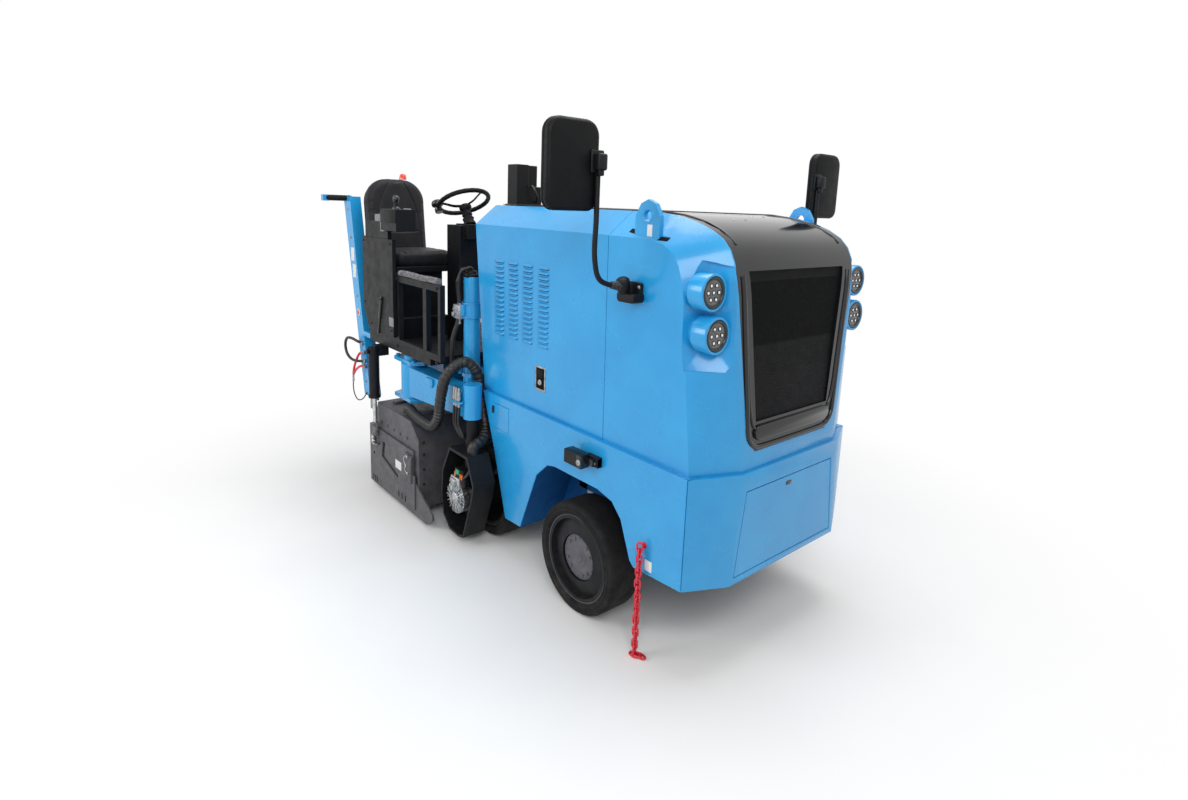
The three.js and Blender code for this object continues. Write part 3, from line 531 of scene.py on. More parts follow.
# ---- sheet-metal solids with eased edges ----
eased = {
    "skyBlueEnamel": {"front_hood": 3, "front_shell": 5, "front_door": 2, "side_skirt_right": 5,
                      "side_skirt_left": 5, "side_door_right": 3, "side_door_left": 3, "rear_bulkhead": 3,
                      "rear_frame": 4, "swing_arm": 4, "lifting_column": 3, "rear_post": 3, "skirt_flap": 1},
    "blackLacquer": {"top_cover": 6},
    "blackPowderCoat": {"platform": 3, "side_shield": 3, "motor_guard": 2, "wheel_leg": 4,
                        "rear_left_column": 5,
                        "steering_column": 4, "armrest_console": 5, "seat_base": 4, "roof_box": 5,
                        "skirt_lamp": 0, "lift_cylinder": 2},
    "wornBlackPaint": {"drum_housing": 3, "side_plate": 2, "scraper_blade": 3},
    "greyPrimer": {"chassis_frame": 3, "battery_block": 6, "steering_knuckle_right": 4,
                   "steering_knuckle_left": 4},
    "castAluminium": {"wheel_motor": 3},
}
for look, nodes in eased.items():
    for node, width in nodes.items():
        soften(node, look, bodyOf[node], width)
print("eased solids ready")

# ---- nodes whose own shape stays ----
kept = {"front_rim_right": "blackPowderCoat", "front_rim_left": "blackPowderCoat",
        "rear_rim_right": "blackPowderCoat", "rear_rim_left": "blackPowderCoat", "cylinder_rod": "chromedRod",
        "milling_drum": "wornSteel", "headlamps_right": "glossPlastic", "headlamps_left": "glossPlastic",
        # the grille screen gets the near-black painted shade
        "grille_mesh": "paintedGapShade"}
for node, look in kept.items():
    data = frame["nodes"][node].data
    data.materials.clear()
    data.materials.append(finish[look])
    data.polygons.foreach_set("use_smooth", [True] * len(data.polygons))
    data.set_sharp_from_angle(angle=math.radians(30))
print("carried nodes finished")
sides = {"right": -1, "left": 1}

# ---- tyres, rims and hubs ----
wheel = {"bead": 223, "shoulder": 22, "hubRadius": 118, "boltPairs": 4, "boltCircle": 106}


def makeWheel(corner, outward):  # worn slick tyre with a scuffed shoulder and sidewall lines
    tyre, rim = corner.replace("_", "_tyre_", 1), corner.replace("_", "_rim_", 1)
    low, high = boxOf(tyre)
    middle, half = (low + high) / 2, (high.y - low.y) / 2
    crown, s = (high.z - low.z) / 2, wheel["shoulder"]
    profile = [(-half + 26, wheel["bead"]), (-half + 10, wheel["bead"] + 2), (-half + 2, wheel["bead"] + 9),
               (-half + 5, wheel["bead"] + 13), (-half, wheel["bead"] + 20), (-half, crown - s - 14),
               (-half + 3, crown - s - 11), (-half + 1, crown - s - 7), (-half + 1, crown - s),
               (-half + 5, crown - 9), (-half + 12, crown - 3), (-half + 24, crown)]
    ring = profile + [(-half * 0.35, crown), (0, crown)]
    ring += [(-a, r) for a, r in reversed(profile + [(-half * 0.35, crown)])]
    bm = bmesh.new()
    lathe(bm, ring, middle, (0, 1, 0), 128, looped=True)
    for v in bm.verts:  # the crown is never quite round on a worn solid tyre
        flat = Vector((v.co.x - middle.x * mm, 0, v.co.z - middle.z * mm))
        turn = math.atan2(flat.z, flat.x)
        worn = 0.4 * math.sin(9 * turn) + 0.35 * math.sin(23 * turn + 1.3)
        if flat.length > 0.27:
            v.co -= flat.normalized() * (0.5 + 0.5 * worn) * mm
    newPiece(corner + ".tyre", bm, "solidRubber", bodyOf[tyre], 28, (tyre,))

    face = boxOf(rim)[1].y if outward > 0 else boxOf(rim)[0].y
    axis = (0, outward, 0)
    start = Vector((middle.x, face + outward * 1500, middle.z))
    plateAt, _ = touch(rim, start + Vector((36, 0, 8)), (0, -outward, 0))
    centre = Vector((middle.x, plateAt.y, middle.z))
    bm = bmesh.new()
    lathe(bm, [(-2, wheel["hubRadius"]), (9, wheel["hubRadius"]), (12, wheel["hubRadius"] - 3), (12, 52),
               (14, 50), (14, 31), (17, 28), (17, 0)], centre, axis, 48)
    for k in range(wheel["boltPairs"] * 2):
        a = math.tau * (k // 2 / wheel["boltPairs"] + (0.08 if k % 2 else -0.08) / 2 + 0.1)
        at = centre + Vector((math.cos(a), 0, math.sin(a))) * (wheel["boltCircle"] - 14) + Vector(axis) * 12
        bolt(bm, at, axis, 13)
    for k in range(20):  # small screws round the edge
        a = math.tau * k / 20
        screw(bm, centre + Vector((math.cos(a), 0, math.sin(a))) * wheel["boltCircle"] + Vector(axis) * 12,
              axis, 4)
    lathe(bm, [(0, 217), (4, 219), (7, 222), (7, 226), (2, 228), (-3, 226), (-4, 220)],
          (middle.x, face - outward * 6, middle.z), axis, 96, looped=True)
    lathe(bm, [(-1, 5), (16, 5), (17, 4)], centre + Vector((0, 0, 128)), axis, 12)  # inflation-free vent plug
    newPiece(corner + ".hubPlate", bm, "hubGrey", bodyOf[rim], 28, ())


for corner, outward in (("front_right", -1), ("front_left", 1), ("rear_right", -1), ("rear_left", 1)):
    makeWheel(corner, outward)
print("wheels ready")

# ---- side doors: pressed louvres, latch ----
louvre = {"columns": (117, 257, 397, 542), "low": 1313, "high": 1728, "count": 16, "width": 95,
          "stand": 13.0, "drop": 17.0, "slit": 6.0}
latch = {"at": (520, 1126), "width": 96, "height": 136}


def pressedLouvre(bm, slitShades, at, out, width):  # a hooded slot pressed outwards, open underneath
    turn = facing(at, out)
    part = bmesh.new()
    across, down = 12, 6
    grid = []
    for i in range(across + 1):
        u = -1 + 2 * i / across
        end = (1 - abs(u) ** 5) ** 0.5
        row = []
        for j in range(down + 1):
            t = j / down
            stand = louvre["stand"] * end * math.sin(t * math.pi / 2) ** 0.8
            row.append(part.verts.new((u * width / 2, louvre["drop"] * (0.5 - t), stand)))
        row.append(part.verts.new((u * width / 2, -louvre["drop"] * 0.5 - 0.8, stand * 0.9)))
        row.append(part.verts.new((u * width / 2, -louvre["drop"] * 0.5 + 2.0, -0.2)))
        grid.append(row)
    for a, b in zip(grid, grid[1:]):
        for j in range(len(a) - 1):
            part.faces.new((a[j], a[j + 1], b[j + 1], b[j]))
    for row in (grid[0], grid[-1]):
        part.faces.new(row)
    part.faces.new([row[0] for row in grid] + [row[-1] for row in reversed(grid)])
    bmesh.ops.recalc_face_normals(part, faces=part.faces[:])
    addInto(bm, part, turn)
    # the near-black strip in the slot under each louvre is painted shade
    slit = -louvre["drop"] * 0.5
    slab(slitShades, (-width / 2 + 4, slit - louvre["slit"], -0.6), (width / 2 - 4, slit + 1.8, 0.8), 0.6, turn, 1)


def makeDoorDetail(side, sign):
    door, out = f"side_door_{side}", (0, sign, 0)
    body = bodyOf[door]
    bm, slitShades = bmesh.new(), bmesh.new()
    for x in louvre["columns"]:
        for k in range(louvre["count"]):
            z = louvre["high"] - (louvre["high"] - louvre["low"]) * k / (louvre["count"] - 1)
            at, normal = touch(door, (x, sign * 2000, z), (0, -sign, 0))
            pressedLouvre(bm, slitShades, at, normal, louvre["width"])
    newPiece(f"louvres.{side}", bm, "skyBlueEnamel", body, 50)
    newPiece(f"louvreSlitShade.{side}", slitShades, "paintedGapShade", body)
    at, normal = touch(door, (latch["at"][0], sign * 2000, latch["at"][1]), (0, -sign, 0))
    turn = facing(at, normal)
    w, h = latch["width"], latch["height"]
    bm = bmesh.new()  # bright pressed frame round the recess
    outer, inner = roundRect(w, h, 7), roundRect(w - 22, h - 22, 4)
    part = bmesh.new()
    loops = [[part.verts.new((a, b, z)) for a, b in outline] for outline, z in
             ((outer, -0.5), (outer, 2.2), (roundRect(w - 4, h - 4, 6), 3.2), (roundRect(w - 18, h - 18, 5), 3.2),
              (inner, 1.4), (inner, -0.5))]
    for a, b in zip(loops, loops[1:]):
        for k in range(len(a)):
            part.faces.new((a[k], a[(k + 1) % len(a)], b[(k + 1) % len(a)], b[k]))
    bmesh.ops.recalc_face_normals(part, faces=part.faces[:])
    addInto(bm, part, turn)
    newPiece(f"latchFrame.{side}", bm, "zincPlate", body, 40)
    bm = bmesh.new()
    # near-black pan inside the frame: painted shade in the recess
    prism(bm, inner, -0.6, 1.0, 0, turn)
    newPiece(f"latchPanShade.{side}", bm, "paintedGapShade", body)
    bm = bmesh.new()  # paddle, lock barrel and its screws
    slab(bm, (-w / 2 + 18, 4, 1), (w / 2 - 18, h / 2 - 16, 7), 2.5, turn)
    slab(bm, (-w / 2 + 22, 8, 6), (w / 2 - 22, 14, 10), 1.5, turn)
    newPiece(f"latchPaddle.{side}", bm, "blackMoulding", body)
    bm = bmesh.new()
    centre = turn @ Vector((0, -20, 0))
    lathe(bm, [(0, 16), (5, 16), (7, 14), (7, 11), (5.5, 10), (5.5, 0)], centre, normal, 28)
    for a, b in ((-1, 1), (1, 1), (-1, -1), (1, -1)):
        screw(bm, turn @ Vector((a * (w / 2 - 5.5), b * (h / 2 - 5.5), 3)), normal, 3.2)
    newPiece(f"latchLock.{side}", bm, "zincPlate", body, 40)


for side, sign in sides.items():
    makeDoorDetail(side, sign)
print("doors ready")

# ---- lamps: blue pod, bezel ring, dished reflector, seven emitters in their rims ----
lamp = {"places": ((1626, 562, 1726), (1644, 546, 1551)), "radius": 66, "emitters": 6, "circle": 33}
for side, sign in sides.items():
    bezel, dish, pearls, rims, pods = (bmesh.new() for _ in range(5))
    for x, y, z in lamp["places"]:
        at, ahead = Vector((x, sign * y, z)), (1, 0, 0)
        r = lamp["radius"]
        lathe(bezel, [(-6, r - 1), (2, r), (6, r - 1.5), (8, r - 5), (8, r - 9), (5, r - 13), (1, r - 14),
                      (-6, r - 14)], at, ahead, 64, looped=True)
        lathe(pods, [(-74, r + 1.5), (3, r + 0.6), (7, r + 2), (8, r + 6), (6, r + 11), (0, r + 13),
                     (-74, r + 9)], at, ahead, 72, looped=True)
        lathe(dish, [(-8, r - 12), (1.2, r - 12), (2.2, r - 16), (1.6, 20), (2.4, 17), (2.4, 0)], at, ahead, 48)
        spots = [(0, 0)] + [(math.cos(math.tau * k / 6) * lamp["circle"], math.sin(math.tau * k / 6)
                             * lamp["circle"]) for k in range(lamp["emitters"])]
        for a, b in spots:
            lathe(rims, [(-1, 10), (3.4, 10), (3.8, 9), (2.6, 6.6), (-1, 6.6)],
                  at + Vector((1.4, a, b)), ahead, 20, looped=True)
            lathe(pearls, [(-1, 6.8), (2.4, 6.6), (4.2, 4.6), (4.9, 2.2), (5.1, 0)],
                  at + Vector((1.4, a, b)), ahead, 16)
    newPiece(f"lampPods.{side}", pods, "skyBlueEnamel", "machine", 40)
    newPiece(f"lampBezels.{side}", bezel, "glossPlastic", "machine", 40)
    newPiece(f"lampDishes.{side}", dish, "lampGrey", "machine", 40)
    newPiece(f"lampRims.{side}", rims, "glossPlastic", "machine", 40)
    newPiece(f"lampPearls.{side}", pearls, "lampPearl", "machine", 60)
print("lamps ready")

# ---- grille: woven wire on the diagonal, in front of the screen painted near-black as the shade behind the grille ----
grille = {"low": 1150, "high": 1806, "half": 368, "pitch": 13.0, "wire": 2.1}


def makeGrilleFrame():  # rolled outer lip, inner step and the broad bar under the mesh
    half = lambda z: 345 + 113 * (z - 1015) / 1020
    corner, foot, inset = 92, 1033, 14
    outer = [(half(z) - inset, z) for z in range(1790, foot + corner, -60)]
    turnAt = (half(foot + corner) - inset - corner, foot + corner)
    outer += [(turnAt[0] + corner * math.cos(a), turnAt[1] - corner * math.sin(a))
              for a in (math.pi / 2 * k / 6 for k in range(7))]
    inner = [(412 - 87 * (1790 - z) / 640, z) for z in range(1790, 1190, -60)]
    inner += [(312, 1150), (292, 1122), (262, 1112)]
    bm = bmesh.new()
    for path, size in ((outer, 12), (inner, 8)):
        path = path + [(-y, z) for y, z in reversed(path)]
        line = [touch("top_cover", (3000, y, z), (-1, 0, 0))[0] for y, z in path]
        tube(bm, smoothPath(line, 12), size, 12)
    a, b = (touch("top_cover", (3000, 0, z), (-1, 0, 0))[0] for z in (1132, 1062))
    turn = facing((a + b) / 2, Vector((0, 1, 0)).cross(a - b), a - b)
    bar = [(-262, 36), (-284, 30), (-300, 8), (-292, -18), (-266, -34), (266, -34), (292, -18), (300, 8),
           (284, 30), (262, 36)]
    prism(bm, bar, -4, 12, 5, turn)
    newPiece("grilleFrame", bm, "blackLacquer", "machine", 40)


makeGrilleFrame()


def makeGrille():
    top, _ = touch("grille_mesh", (3000, 0, grille["high"] - 8), (-1, 0, 0))
    foot, _ = touch("grille_mesh", (3000, 0, grille["low"] + 8), (-1, 0, 0))
    slope = (top.x - foot.x) / (top.z - foot.z)
    bm = bmesh.new()
    half, low, high, wire = grille["half"], grille["low"], grille["high"], grille["wire"]
    for lean in (1, -1):
        c = -half - (high - low)
        while c < half + (high - low):
            # wire runs along y = c + lean * (z - low)
            ends = []
            for z in (low, high):
                ends.append((c + lean * (z - low), z))
            (ya, za), (yb, zb) = sorted(ends)
            if ya < -half:
                za += (zb - za) * (-half - ya) / (yb - ya)
                ya = -half
            if yb > half:
                zb -= (zb - za) * (yb - half) / (yb - ya)
                yb = half
            c += grille["pitch"]
            if yb - ya < 6 or ya > half or yb < -half:
                continue
            a = Vector((foot.x + slope * (za - foot.z) + 2.4 + lean, ya, za))
            b = Vector((foot.x + slope * (zb - foot.z) + 2.4 + lean, yb, zb))
            tube(bm, [a, b], wire, 4, squash=0.8)
    newPiece("grilleWires", bm, "blackPowderCoat", "machine", 20)


makeGrille()
print("grille ready")

# deep wheel arches in painted shade: a darker blue band round the opening and the wall behind the tyre, clear of the
# steered wheel
arch = {"centre": 940, "outer": 621, "inner": 345, "wall": 346, "sheet": 2.0, "low": 470,
        "line": [(388, 221), (538, 591), (634, 677), (696, 691), (1043, 693), (1150, 669), (1217, 604),
                 (1290, 427), (1316, 404)],
        "panel": [(388, 221), (538, 591), (634, 690), (645, 690), (645, 245)]}  # wall behind the wheel


def makeArch(side, sign):
    bm = bmesh.new()
    rows = []
    for x, z in arch["line"]:
        inward = (arch["centre"] - x) / abs(arch["centre"] - x) * arch["sheet"]
        near, far = (x + inward, z - arch["sheet"]), (x + 0.1 * inward, z - 0.2)
        corners = ((near, arch["outer"]), (near, arch["inner"]), (far, arch["inner"]), (far, arch["outer"]))
        rows.append([bm.verts.new(Vector((px, sign * y, pz)) * mm) for (px, pz), y in corners])
    for a, b in zip(rows, rows[1:]):
        for i in range(4):
            bm.faces.new((a[i], a[(i + 1) % 4], b[(i + 1) % 4], b[i]))
    bm.faces.new(rows[0])
    bm.faces.new(rows[-1])
    front, back = ([bm.verts.new(Vector((x, sign * y, z)) * mm) for x, z in arch["panel"]]
                   for y in (arch["wall"], 343.6))
    bm.faces.new(front)
    bm.faces.new(back)
    for k in range(len(front)):
        bm.faces.new((front[k - 1], front[k], back[k], back[k - 1]))
    # slabs on the inner wall; like the band and the wall, their darker blue is painted shade
    for depth, lowZ, highZ in ((343.3, 574, 690), (331.5, arch["low"], 574)):
        lowY, highY = sorted((sign * arch["wall"], sign * depth))
        slab(bm, (577, lowY, lowZ), (1327, highY, highZ), 0.5)
    bmesh.ops.recalc_face_normals(bm, faces=bm.faces)
    newPiece(f"archShadeLiner.{side}", bm, "archShadeBlue", "machine", 30)


for side, sign in sides.items():
    makeArch(side, sign)

# ---- chain: interlocked round-steel links, hanging to the floor ----
chain = {"pitch": 30.0, "wire": 5.2, "width": 13.0}


def makeChain():
    low, high = boxOf("tie_chain")
    x, y = (low.x + high.x) / 2, low.y + 15
    bm = bmesh.new()
    z, k = high.z - 14, 0
    while z > 12:
        turnAngle = 0.35 + (math.pi / 2 if k % 2 else 0) + random.uniform(-0.12, 0.12)
        flat = Vector((math.cos(turnAngle), math.sin(turnAngle), 0))
        centre = Vector((x + random.uniform(-1.5, 1.5), y + random.uniform(-1.5, 1.5), z))
        line = []
        for n in range(20):
            a = math.tau * n / 20
            up = chain["pitch"] * 0.34 * (1 if math.sin(a) > 0 else -1) + math.sin(a) * chain["width"]
            line.append(centre + flat * math.cos(a) * chain["width"] + Vector((0, 0, up)))
        tube(bm, line, chain["wire"], 8, closed=True)
        z, k = z - chain["pitch"], k + 1
    for n in range(3):  # the last links lie in a small heap on the floor
        centre = Vector((x + 16 * n, y - 4 + 10 * n, 7 + 4 * (n == 1)))
        line = [centre + Vector((math.cos(a + n) * 22, math.sin(a + n) * 13, math.sin(3 * a) * 1.2))
                for a in (math.tau * i / 20 for i in range(20))]
        tube(bm, line, chain["wire"], 8, closed=True)
    newPiece("chainLinks", bm, "redEnamel", "machine", 60, ("tie_chain",))
    bm = bmesh.new()  # the bolted eye that the chain hangs from
    at = Vector((x, high.y, high.z - 12))
    lathe(bm, [(-2, 15), (3, 15), (4, 13), (4, 8), (10, 8), (11, 6)], at, (0, -1, 0), 24)
    newPiece("chainStud", bm, "redEnamel", "machine", 40)


makeChain()

# ---- skirt lamp: finned body on a bracket, amber-free dark lens ----
def makeSkirtLamp():
    low, high = boxOf("skirt_lamp")
    bm = bmesh.new()
    x0, x1, y0, y1, z0, z1 = 877, 1007, low.y, -648, 800, high.z
    slab(bm, (x0, y0 + 10, z0), (x1, y1, z1), 6)
    for k in range(9):  # cooling fins over the front and the end
        x = x0 + 8 + k * 9.5
        slab(bm, (x, y0, z0 + 6), (x + 3.6, y0 + 16, z1 - 6), 1.2)
    for k in range(4):
        z = z0 + 12 + k * 14
        slab(bm, (x0 - 5, y0 + 16, z), (x0 + 6, y1 - 6, z + 4), 1.2)
    slab(bm, (x1 - 34, y0 - 1, z0 + 2), (x1 + 2, y1, z1 - 2), 4)
    slab(bm, (x1 - 2, -672, z0 + 18), (high.x - 18, -656, z1 - 16), 3)
    newPiece("skirtLampBody", bm, "glossPlastic", "machine", 40, ("skirt_lamp",))
    bm = bmesh.new()
    slab(bm, (x1 + 14, -652, z0 + 10), (high.x, -626, z1 - 8), 2)
    newPiece("skirtLampBracket", bm, "skyBlueEnamel", "machine", 40)
    bm = bmesh.new()
    bolt(bm, (high.x - 20, -652, (z0 + z1) / 2), (0, -1, 0), 15)
    lathe(bm, [(0, 15), (3, 15), (5, 13), (5, 0)], (x1 - 16, y0 - 1, (z0 + z1) / 2 - 4), (0, -1, 0), 24)
    newPiece("skirtLampBolt", bm, "zincPlate", "machine", 40)


makeSkirtLamp()

# ---- small flap in the skirt: latch and lock dot ----
flapFace = boxOf("skirt_flap")[0].y
bm = bmesh.new()
slab(bm, (90, flapFace - 9, 828), (104, flapFace + 2, 872), 2.5)
slab(bm, (84, flapFace - 6, 838), (96, flapFace + 2, 862), 2)
newPiece("flapHinge", bm, "glossPlastic", "small_flap", 40)
bm = bmesh.new()
lathe(bm, [(-1, 9), (2, 9), (3, 7), (3, 3), (1.5, 2.5), (1.5, 0)], (166, flapFace, 838), (0, -1, 0), 24)
newPiece("flapLock", bm, "zincPlate", "small_flap", 40)
# ---- driver's seat: pads swollen inside their covers, seams drawn in afterwards ----
seat = {"voxel": 7.0, "pressure": 4.0, "cap": 9.0, "shrink": 0.97, "rounding": 34, "seamWidth": 9.0,
        "seamDepth": 6.5}


def padOutline(width, height, lowCorner, highCorner):
    points = []
    for cx, top, start in ((1, 1, 0), (-1, 1, 90), (-1, 0, 180), (1, 0, 270)):
        corner = highCorner if top else lowCorner
        for k in range(9):
            a = math.radians(start + 90 * k / 8)
            points.append((cx * (width / 2 - corner) + corner * math.cos(a),
                           (height - corner if top else corner) + corner * math.sin(a)))
    return points


def stuffed(name, node, outline, thick, turn, seams):
    bm = bmesh.new()
    prism(bm, outline, -thick, 0, thick * 0.28, turn)
    mesh = bpy.data.meshes.new(name)
    bm.to_mesh(mesh)
    bm.free()
    pad = bpy.data.objects.new(name, mesh)
    bpy.context.scene.collection.objects.link(pad)

    def settle():  # keeps what the modifiers made
        made = bpy.data.meshes.new_from_object(pad.evaluated_get(bpy.context.evaluated_depsgraph_get()))
        pad.data = made
        pad.modifiers.clear()

    remesh = pad.modifiers.new("even", "REMESH")
    remesh.mode, remesh.voxel_size = "VOXEL", seat["voxel"] * mm
    eased = pad.modifiers.new("round", "SMOOTH")
    eased.factor, eased.iterations = 0.5, seat["rounding"]
    settle()
    start = [v.co.copy() for v in pad.data.vertices]
    cloth = pad.modifiers.new("swell", "CLOTH")
    cloth.settings.use_pressure = True
    cloth.settings.uniform_pressure_force = seat["pressure"]
    cloth.settings.effector_weights.gravity = 0
    for step in range(1, 21):
        bpy.context.scene.frame_set(step)
    settle()
    for v, was in zip(pad.data.vertices, start):
        step = v.co - was
        v.co = was + step * min(1.0, seat["cap"] * mm / max(step.length, 1e-9))
    bpy.context.scene.frame_set(1)
    fine = pad.modifiers.new("fine", "SUBSURF")
    fine.levels = fine.render_levels = 1
    settle()
    back = turn.inverted()
    lines = [[Vector((*p, 0)) for p in line] for line in seams]
    dots = [p for line in lines for p in smoothPath(line, 4.0)]
    for v in pad.data.vertices:
        local = back @ (v.co * 1000)
        if local.z < -thick * 0.5:
            continue
        flat = Vector((local.x, local.y, 0))
        near = min((flat - p).length_squared for p in dots) ** 0.5
        if near < seat["seamWidth"]:
            t = 1 - near / seat["seamWidth"]
            v.co -= v.normal * seat["seamDepth"] * mm * t * t * (3 - 2 * t)
    pad.data.polygons.foreach_set("use_smooth", [True] * len(pad.data.polygons))
    pad.data.materials.append(finish["seatVinyl"])
    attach(pad, bodyOf[node])
    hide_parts(node)


cushionLow, cushionHigh = boxOf("seat_cushion")
middle = (cushionLow + cushionHigh) / 2
depth, breadth = cushionHigh.x - cushionLow.x, cushionHigh.y - cushionLow.y
turn = facing((cushionLow.x, middle.y, cushionHigh.z - 4), (0, 0, 1), (1, 0, 0))
seams = [[(s * 160, 40), (s * 166, 150), (s * 164, 270), (s * 140, depth - 30)] for s in (-1, 1)]
seams += [[(-150, y), (0, y + 8), (150, y)] for y in (150, 275)]
stuffed("seatCushion", "seat_cushion", padOutline(breadth - 12, depth - 8, 60, 80),
        cushionHigh.z - cushionLow.z - 8, turn, seams)
backLow, backHigh = boxOf("seat_backrest")
middle = (backLow + backHigh) / 2
turn = facing((backHigh.x - 4, middle.y, backLow.z + 4), (1, 0, 0.116))
seams = [[(s * 168, 50), (s * 164, 200), (s * 150, 340), (s * 112, 460), (s * 64, 556)] for s in (-1, 1)]
seams += [[(-140, y), (0, y - 6), (140, y)] for y in (215, 350)]
stuffed("seatBack", "seat_backrest", padOutline(backHigh.y - backLow.y - 12, 600, 50, 165), 72, turn, seams)
bm = bmesh.new()  # moulded shell behind the back pad, and its two slides
shell = padOutline(backHigh.y - backLow.y - 40, 560, 40, 150)
prism(bm, [(a, b + 16) for a, b in shell], -84, -64, 5, turn)
for y in (-640, -480):
    slab(bm, (-1330, y - 16, 1590), (-1296, y + 16, 1700), 4)
newPiece("seatShell", bm, "blackMoulding", "machine", 40)
print("seat pads ready")

# ---- steering wheel: thick grooved rim, dished spokes, hub cap, spinner knob ----
helm = {"tilt": 28.0, "rimRadius": 169.0, "rimThick": 15.5, "spokes": (0.35, 2.45, 4.55)}


def makeHelm():
    low, high = boxOf("steering_wheel")
    middle = (low + high) / 2
    tilt = math.radians(helm["tilt"])
    axis = Vector((-math.sin(tilt), 0, math.cos(tilt)))
    ahead = Vector((math.cos(tilt), 0, math.sin(tilt)))
    left = Vector((0, 1, 0))
    bm = bmesh.new()
    rim = []
    for k in range(96):
        a = math.tau * k / 96
        rim.append(middle + (ahead * math.cos(a) + left * math.sin(a)) * helm["rimRadius"])
    step = math.tau * helm["rimRadius"] / 96
    tube(bm, rim, lambda run: helm["rimThick"] - (0.9 if round(run / step) % 4 == 0 else 0), 16, closed=True)
    hub = middle - axis * 34
    for a in helm["spokes"]:
        out = ahead * math.cos(a) + left * math.sin(a)
        line = smoothPath([hub + out * 20 + axis * 4, hub + out * 80 + axis * 8,
                           middle + out * 130 - axis * 10, middle + out * 168], 8)
        tube(bm, line, lambda run: 12 - run * 0.02, 12, squash=0.55)
    lathe(bm, [(-42, 24), (-30, 30), (-22, 40), (-4, 42), (6, 38), (12, 28), (15, 14), (16, 0)],
          hub, axis, 40)
    newPiece("helmWheel", bm, "blackMoulding", "steering_hand_wheel", 50, ("steering_wheel",))
    bm = bmesh.new()
    out = (ahead * -0.72 + left * -0.69).normalized()
    foot = middle + out * (helm["rimRadius"] + 14)
    lathe(bm, [(-16, 24), (-12, 27), (12, 27), (16, 22), (18, 14), (28, 13), (30, 30), (36, 38), (52, 40),
               (66, 34), (73, 20), (75, 0)], foot, axis, 28)
    newPiece("helmKnob", bm, "glossPlastic", "steering_hand_wheel", 50)


makeHelm()

# ---- mirrors: moulded head, clamp block, tube arm, swivel, glass facing the driver ----
mirror = {"width": 264, "height": 366, "foot": 2028, "headY": 943, "back": 1140, "deep": 50, "arm": 11.5,
          "route": [(1212, 668, 1712), (1210, 730, 1716), (1202, 800, 1745), (1202, 830, 1830),
                    (1202, 830, 2000), (1202, 830, 2235)]}


def makeMirror(side, sign):
    node, body = f"mirror_{side}", bodyOf[f"mirror_{side}"]
    m = mirror
    turn = facing((m["back"], sign * m["headY"], m["foot"]), (1, 0, 0))
    bm = bmesh.new()
    prism(bm, padOutline(m["width"], m["height"], 52, 66), 6, m["deep"], 16, turn)
    prism(bm, padOutline(m["width"], m["height"], 52, 66), 0, 16, 5, turn)
    newPiece(f"mirrorHead.{side}", bm, "blackMoulding", body, 50, (node,))
    bm = bmesh.new()
    tube(bm, smoothPath([(x, sign * y, z) for x, y, z in m["route"]], 8), m["arm"], 16)
    y, x = sign * 830, 1202
    slab(bm, (x - 10, y - 34, 2184), (x - 2, y + 34, 2276), 5)
    slab(bm, (x - 4, y - 25, 2194), (x + 34, y + 25, 2262), 9)
    slab(bm, (x + 2, y - 14, 2172), (x + 26, y + 14, 2200), 5)
    lathe(bm, [(-32, 24), (-20, 29), (16, 31), (30, 29), (36, 22), (38, 0)], (1212, sign * 668, 1712),
          (0.1, sign * 0.3, 1), 28)
    newPiece(f"mirrorArm.{side}", bm, "blackPowderCoat", body, 50)
    bm = bmesh.new()  # ribbed rubber boot over the swivel
    line = smoothPath([(1212, sign * 684, 1714), (1211, sign * 706, 1715), (1210, sign * 742, 1719)], 2)
    tube(bm, line, lambda run: 22 - run * 0.13 + 1.6 * math.cos(math.tau * run / 9), 20)
    newPiece(f"mirrorBoot.{side}", bm, "hoseSheath", body, 60)
    bm = bmesh.new()
    turn = facing((m["back"], sign * m["headY"], m["foot"] + 14), (-1, 0, 0))
    prism(bm, padOutline(m["width"] - 28, m["height"] - 28, 40, 54), -1.0, 2.0, 0.8, turn)
    newPiece(f"mirrorGlass.{side}", bm, "mirrorGlass", body, 40)
    bm = bmesh.new()  # fixed block on the hood, its lower end rounded
    low, high = boxOf(f"mirror_bracket_{side}")
    turn = facing(((low.x + high.x) / 2, sign * 609.5, low.z), (0, sign, 0))
    prism(bm, padOutline(high.x - low.x, high.z - low.z - 54, 18, 7), 0, 66, 6, turn)
    prism(bm, padOutline(high.x - low.x - 16, high.z - low.z - 6, 24, 12), 0, 16, 4, turn)
    newPiece(f"mirrorBlock.{side}", bm, "blackPowderCoat", "machine", 40, (f"mirror_bracket_{side}",))
    bm = bmesh.new()
    for x in (low.x + 22, high.x - 22):
        bolt(bm, (x, sign * 625.5, high.z - 26), (0, sign, 0), 12)
    newPiece(f"mirrorBolts.{side}", bm, "zincPlate", "machine", 40)


for side, sign in sides.items():
    makeMirror(side, sign)

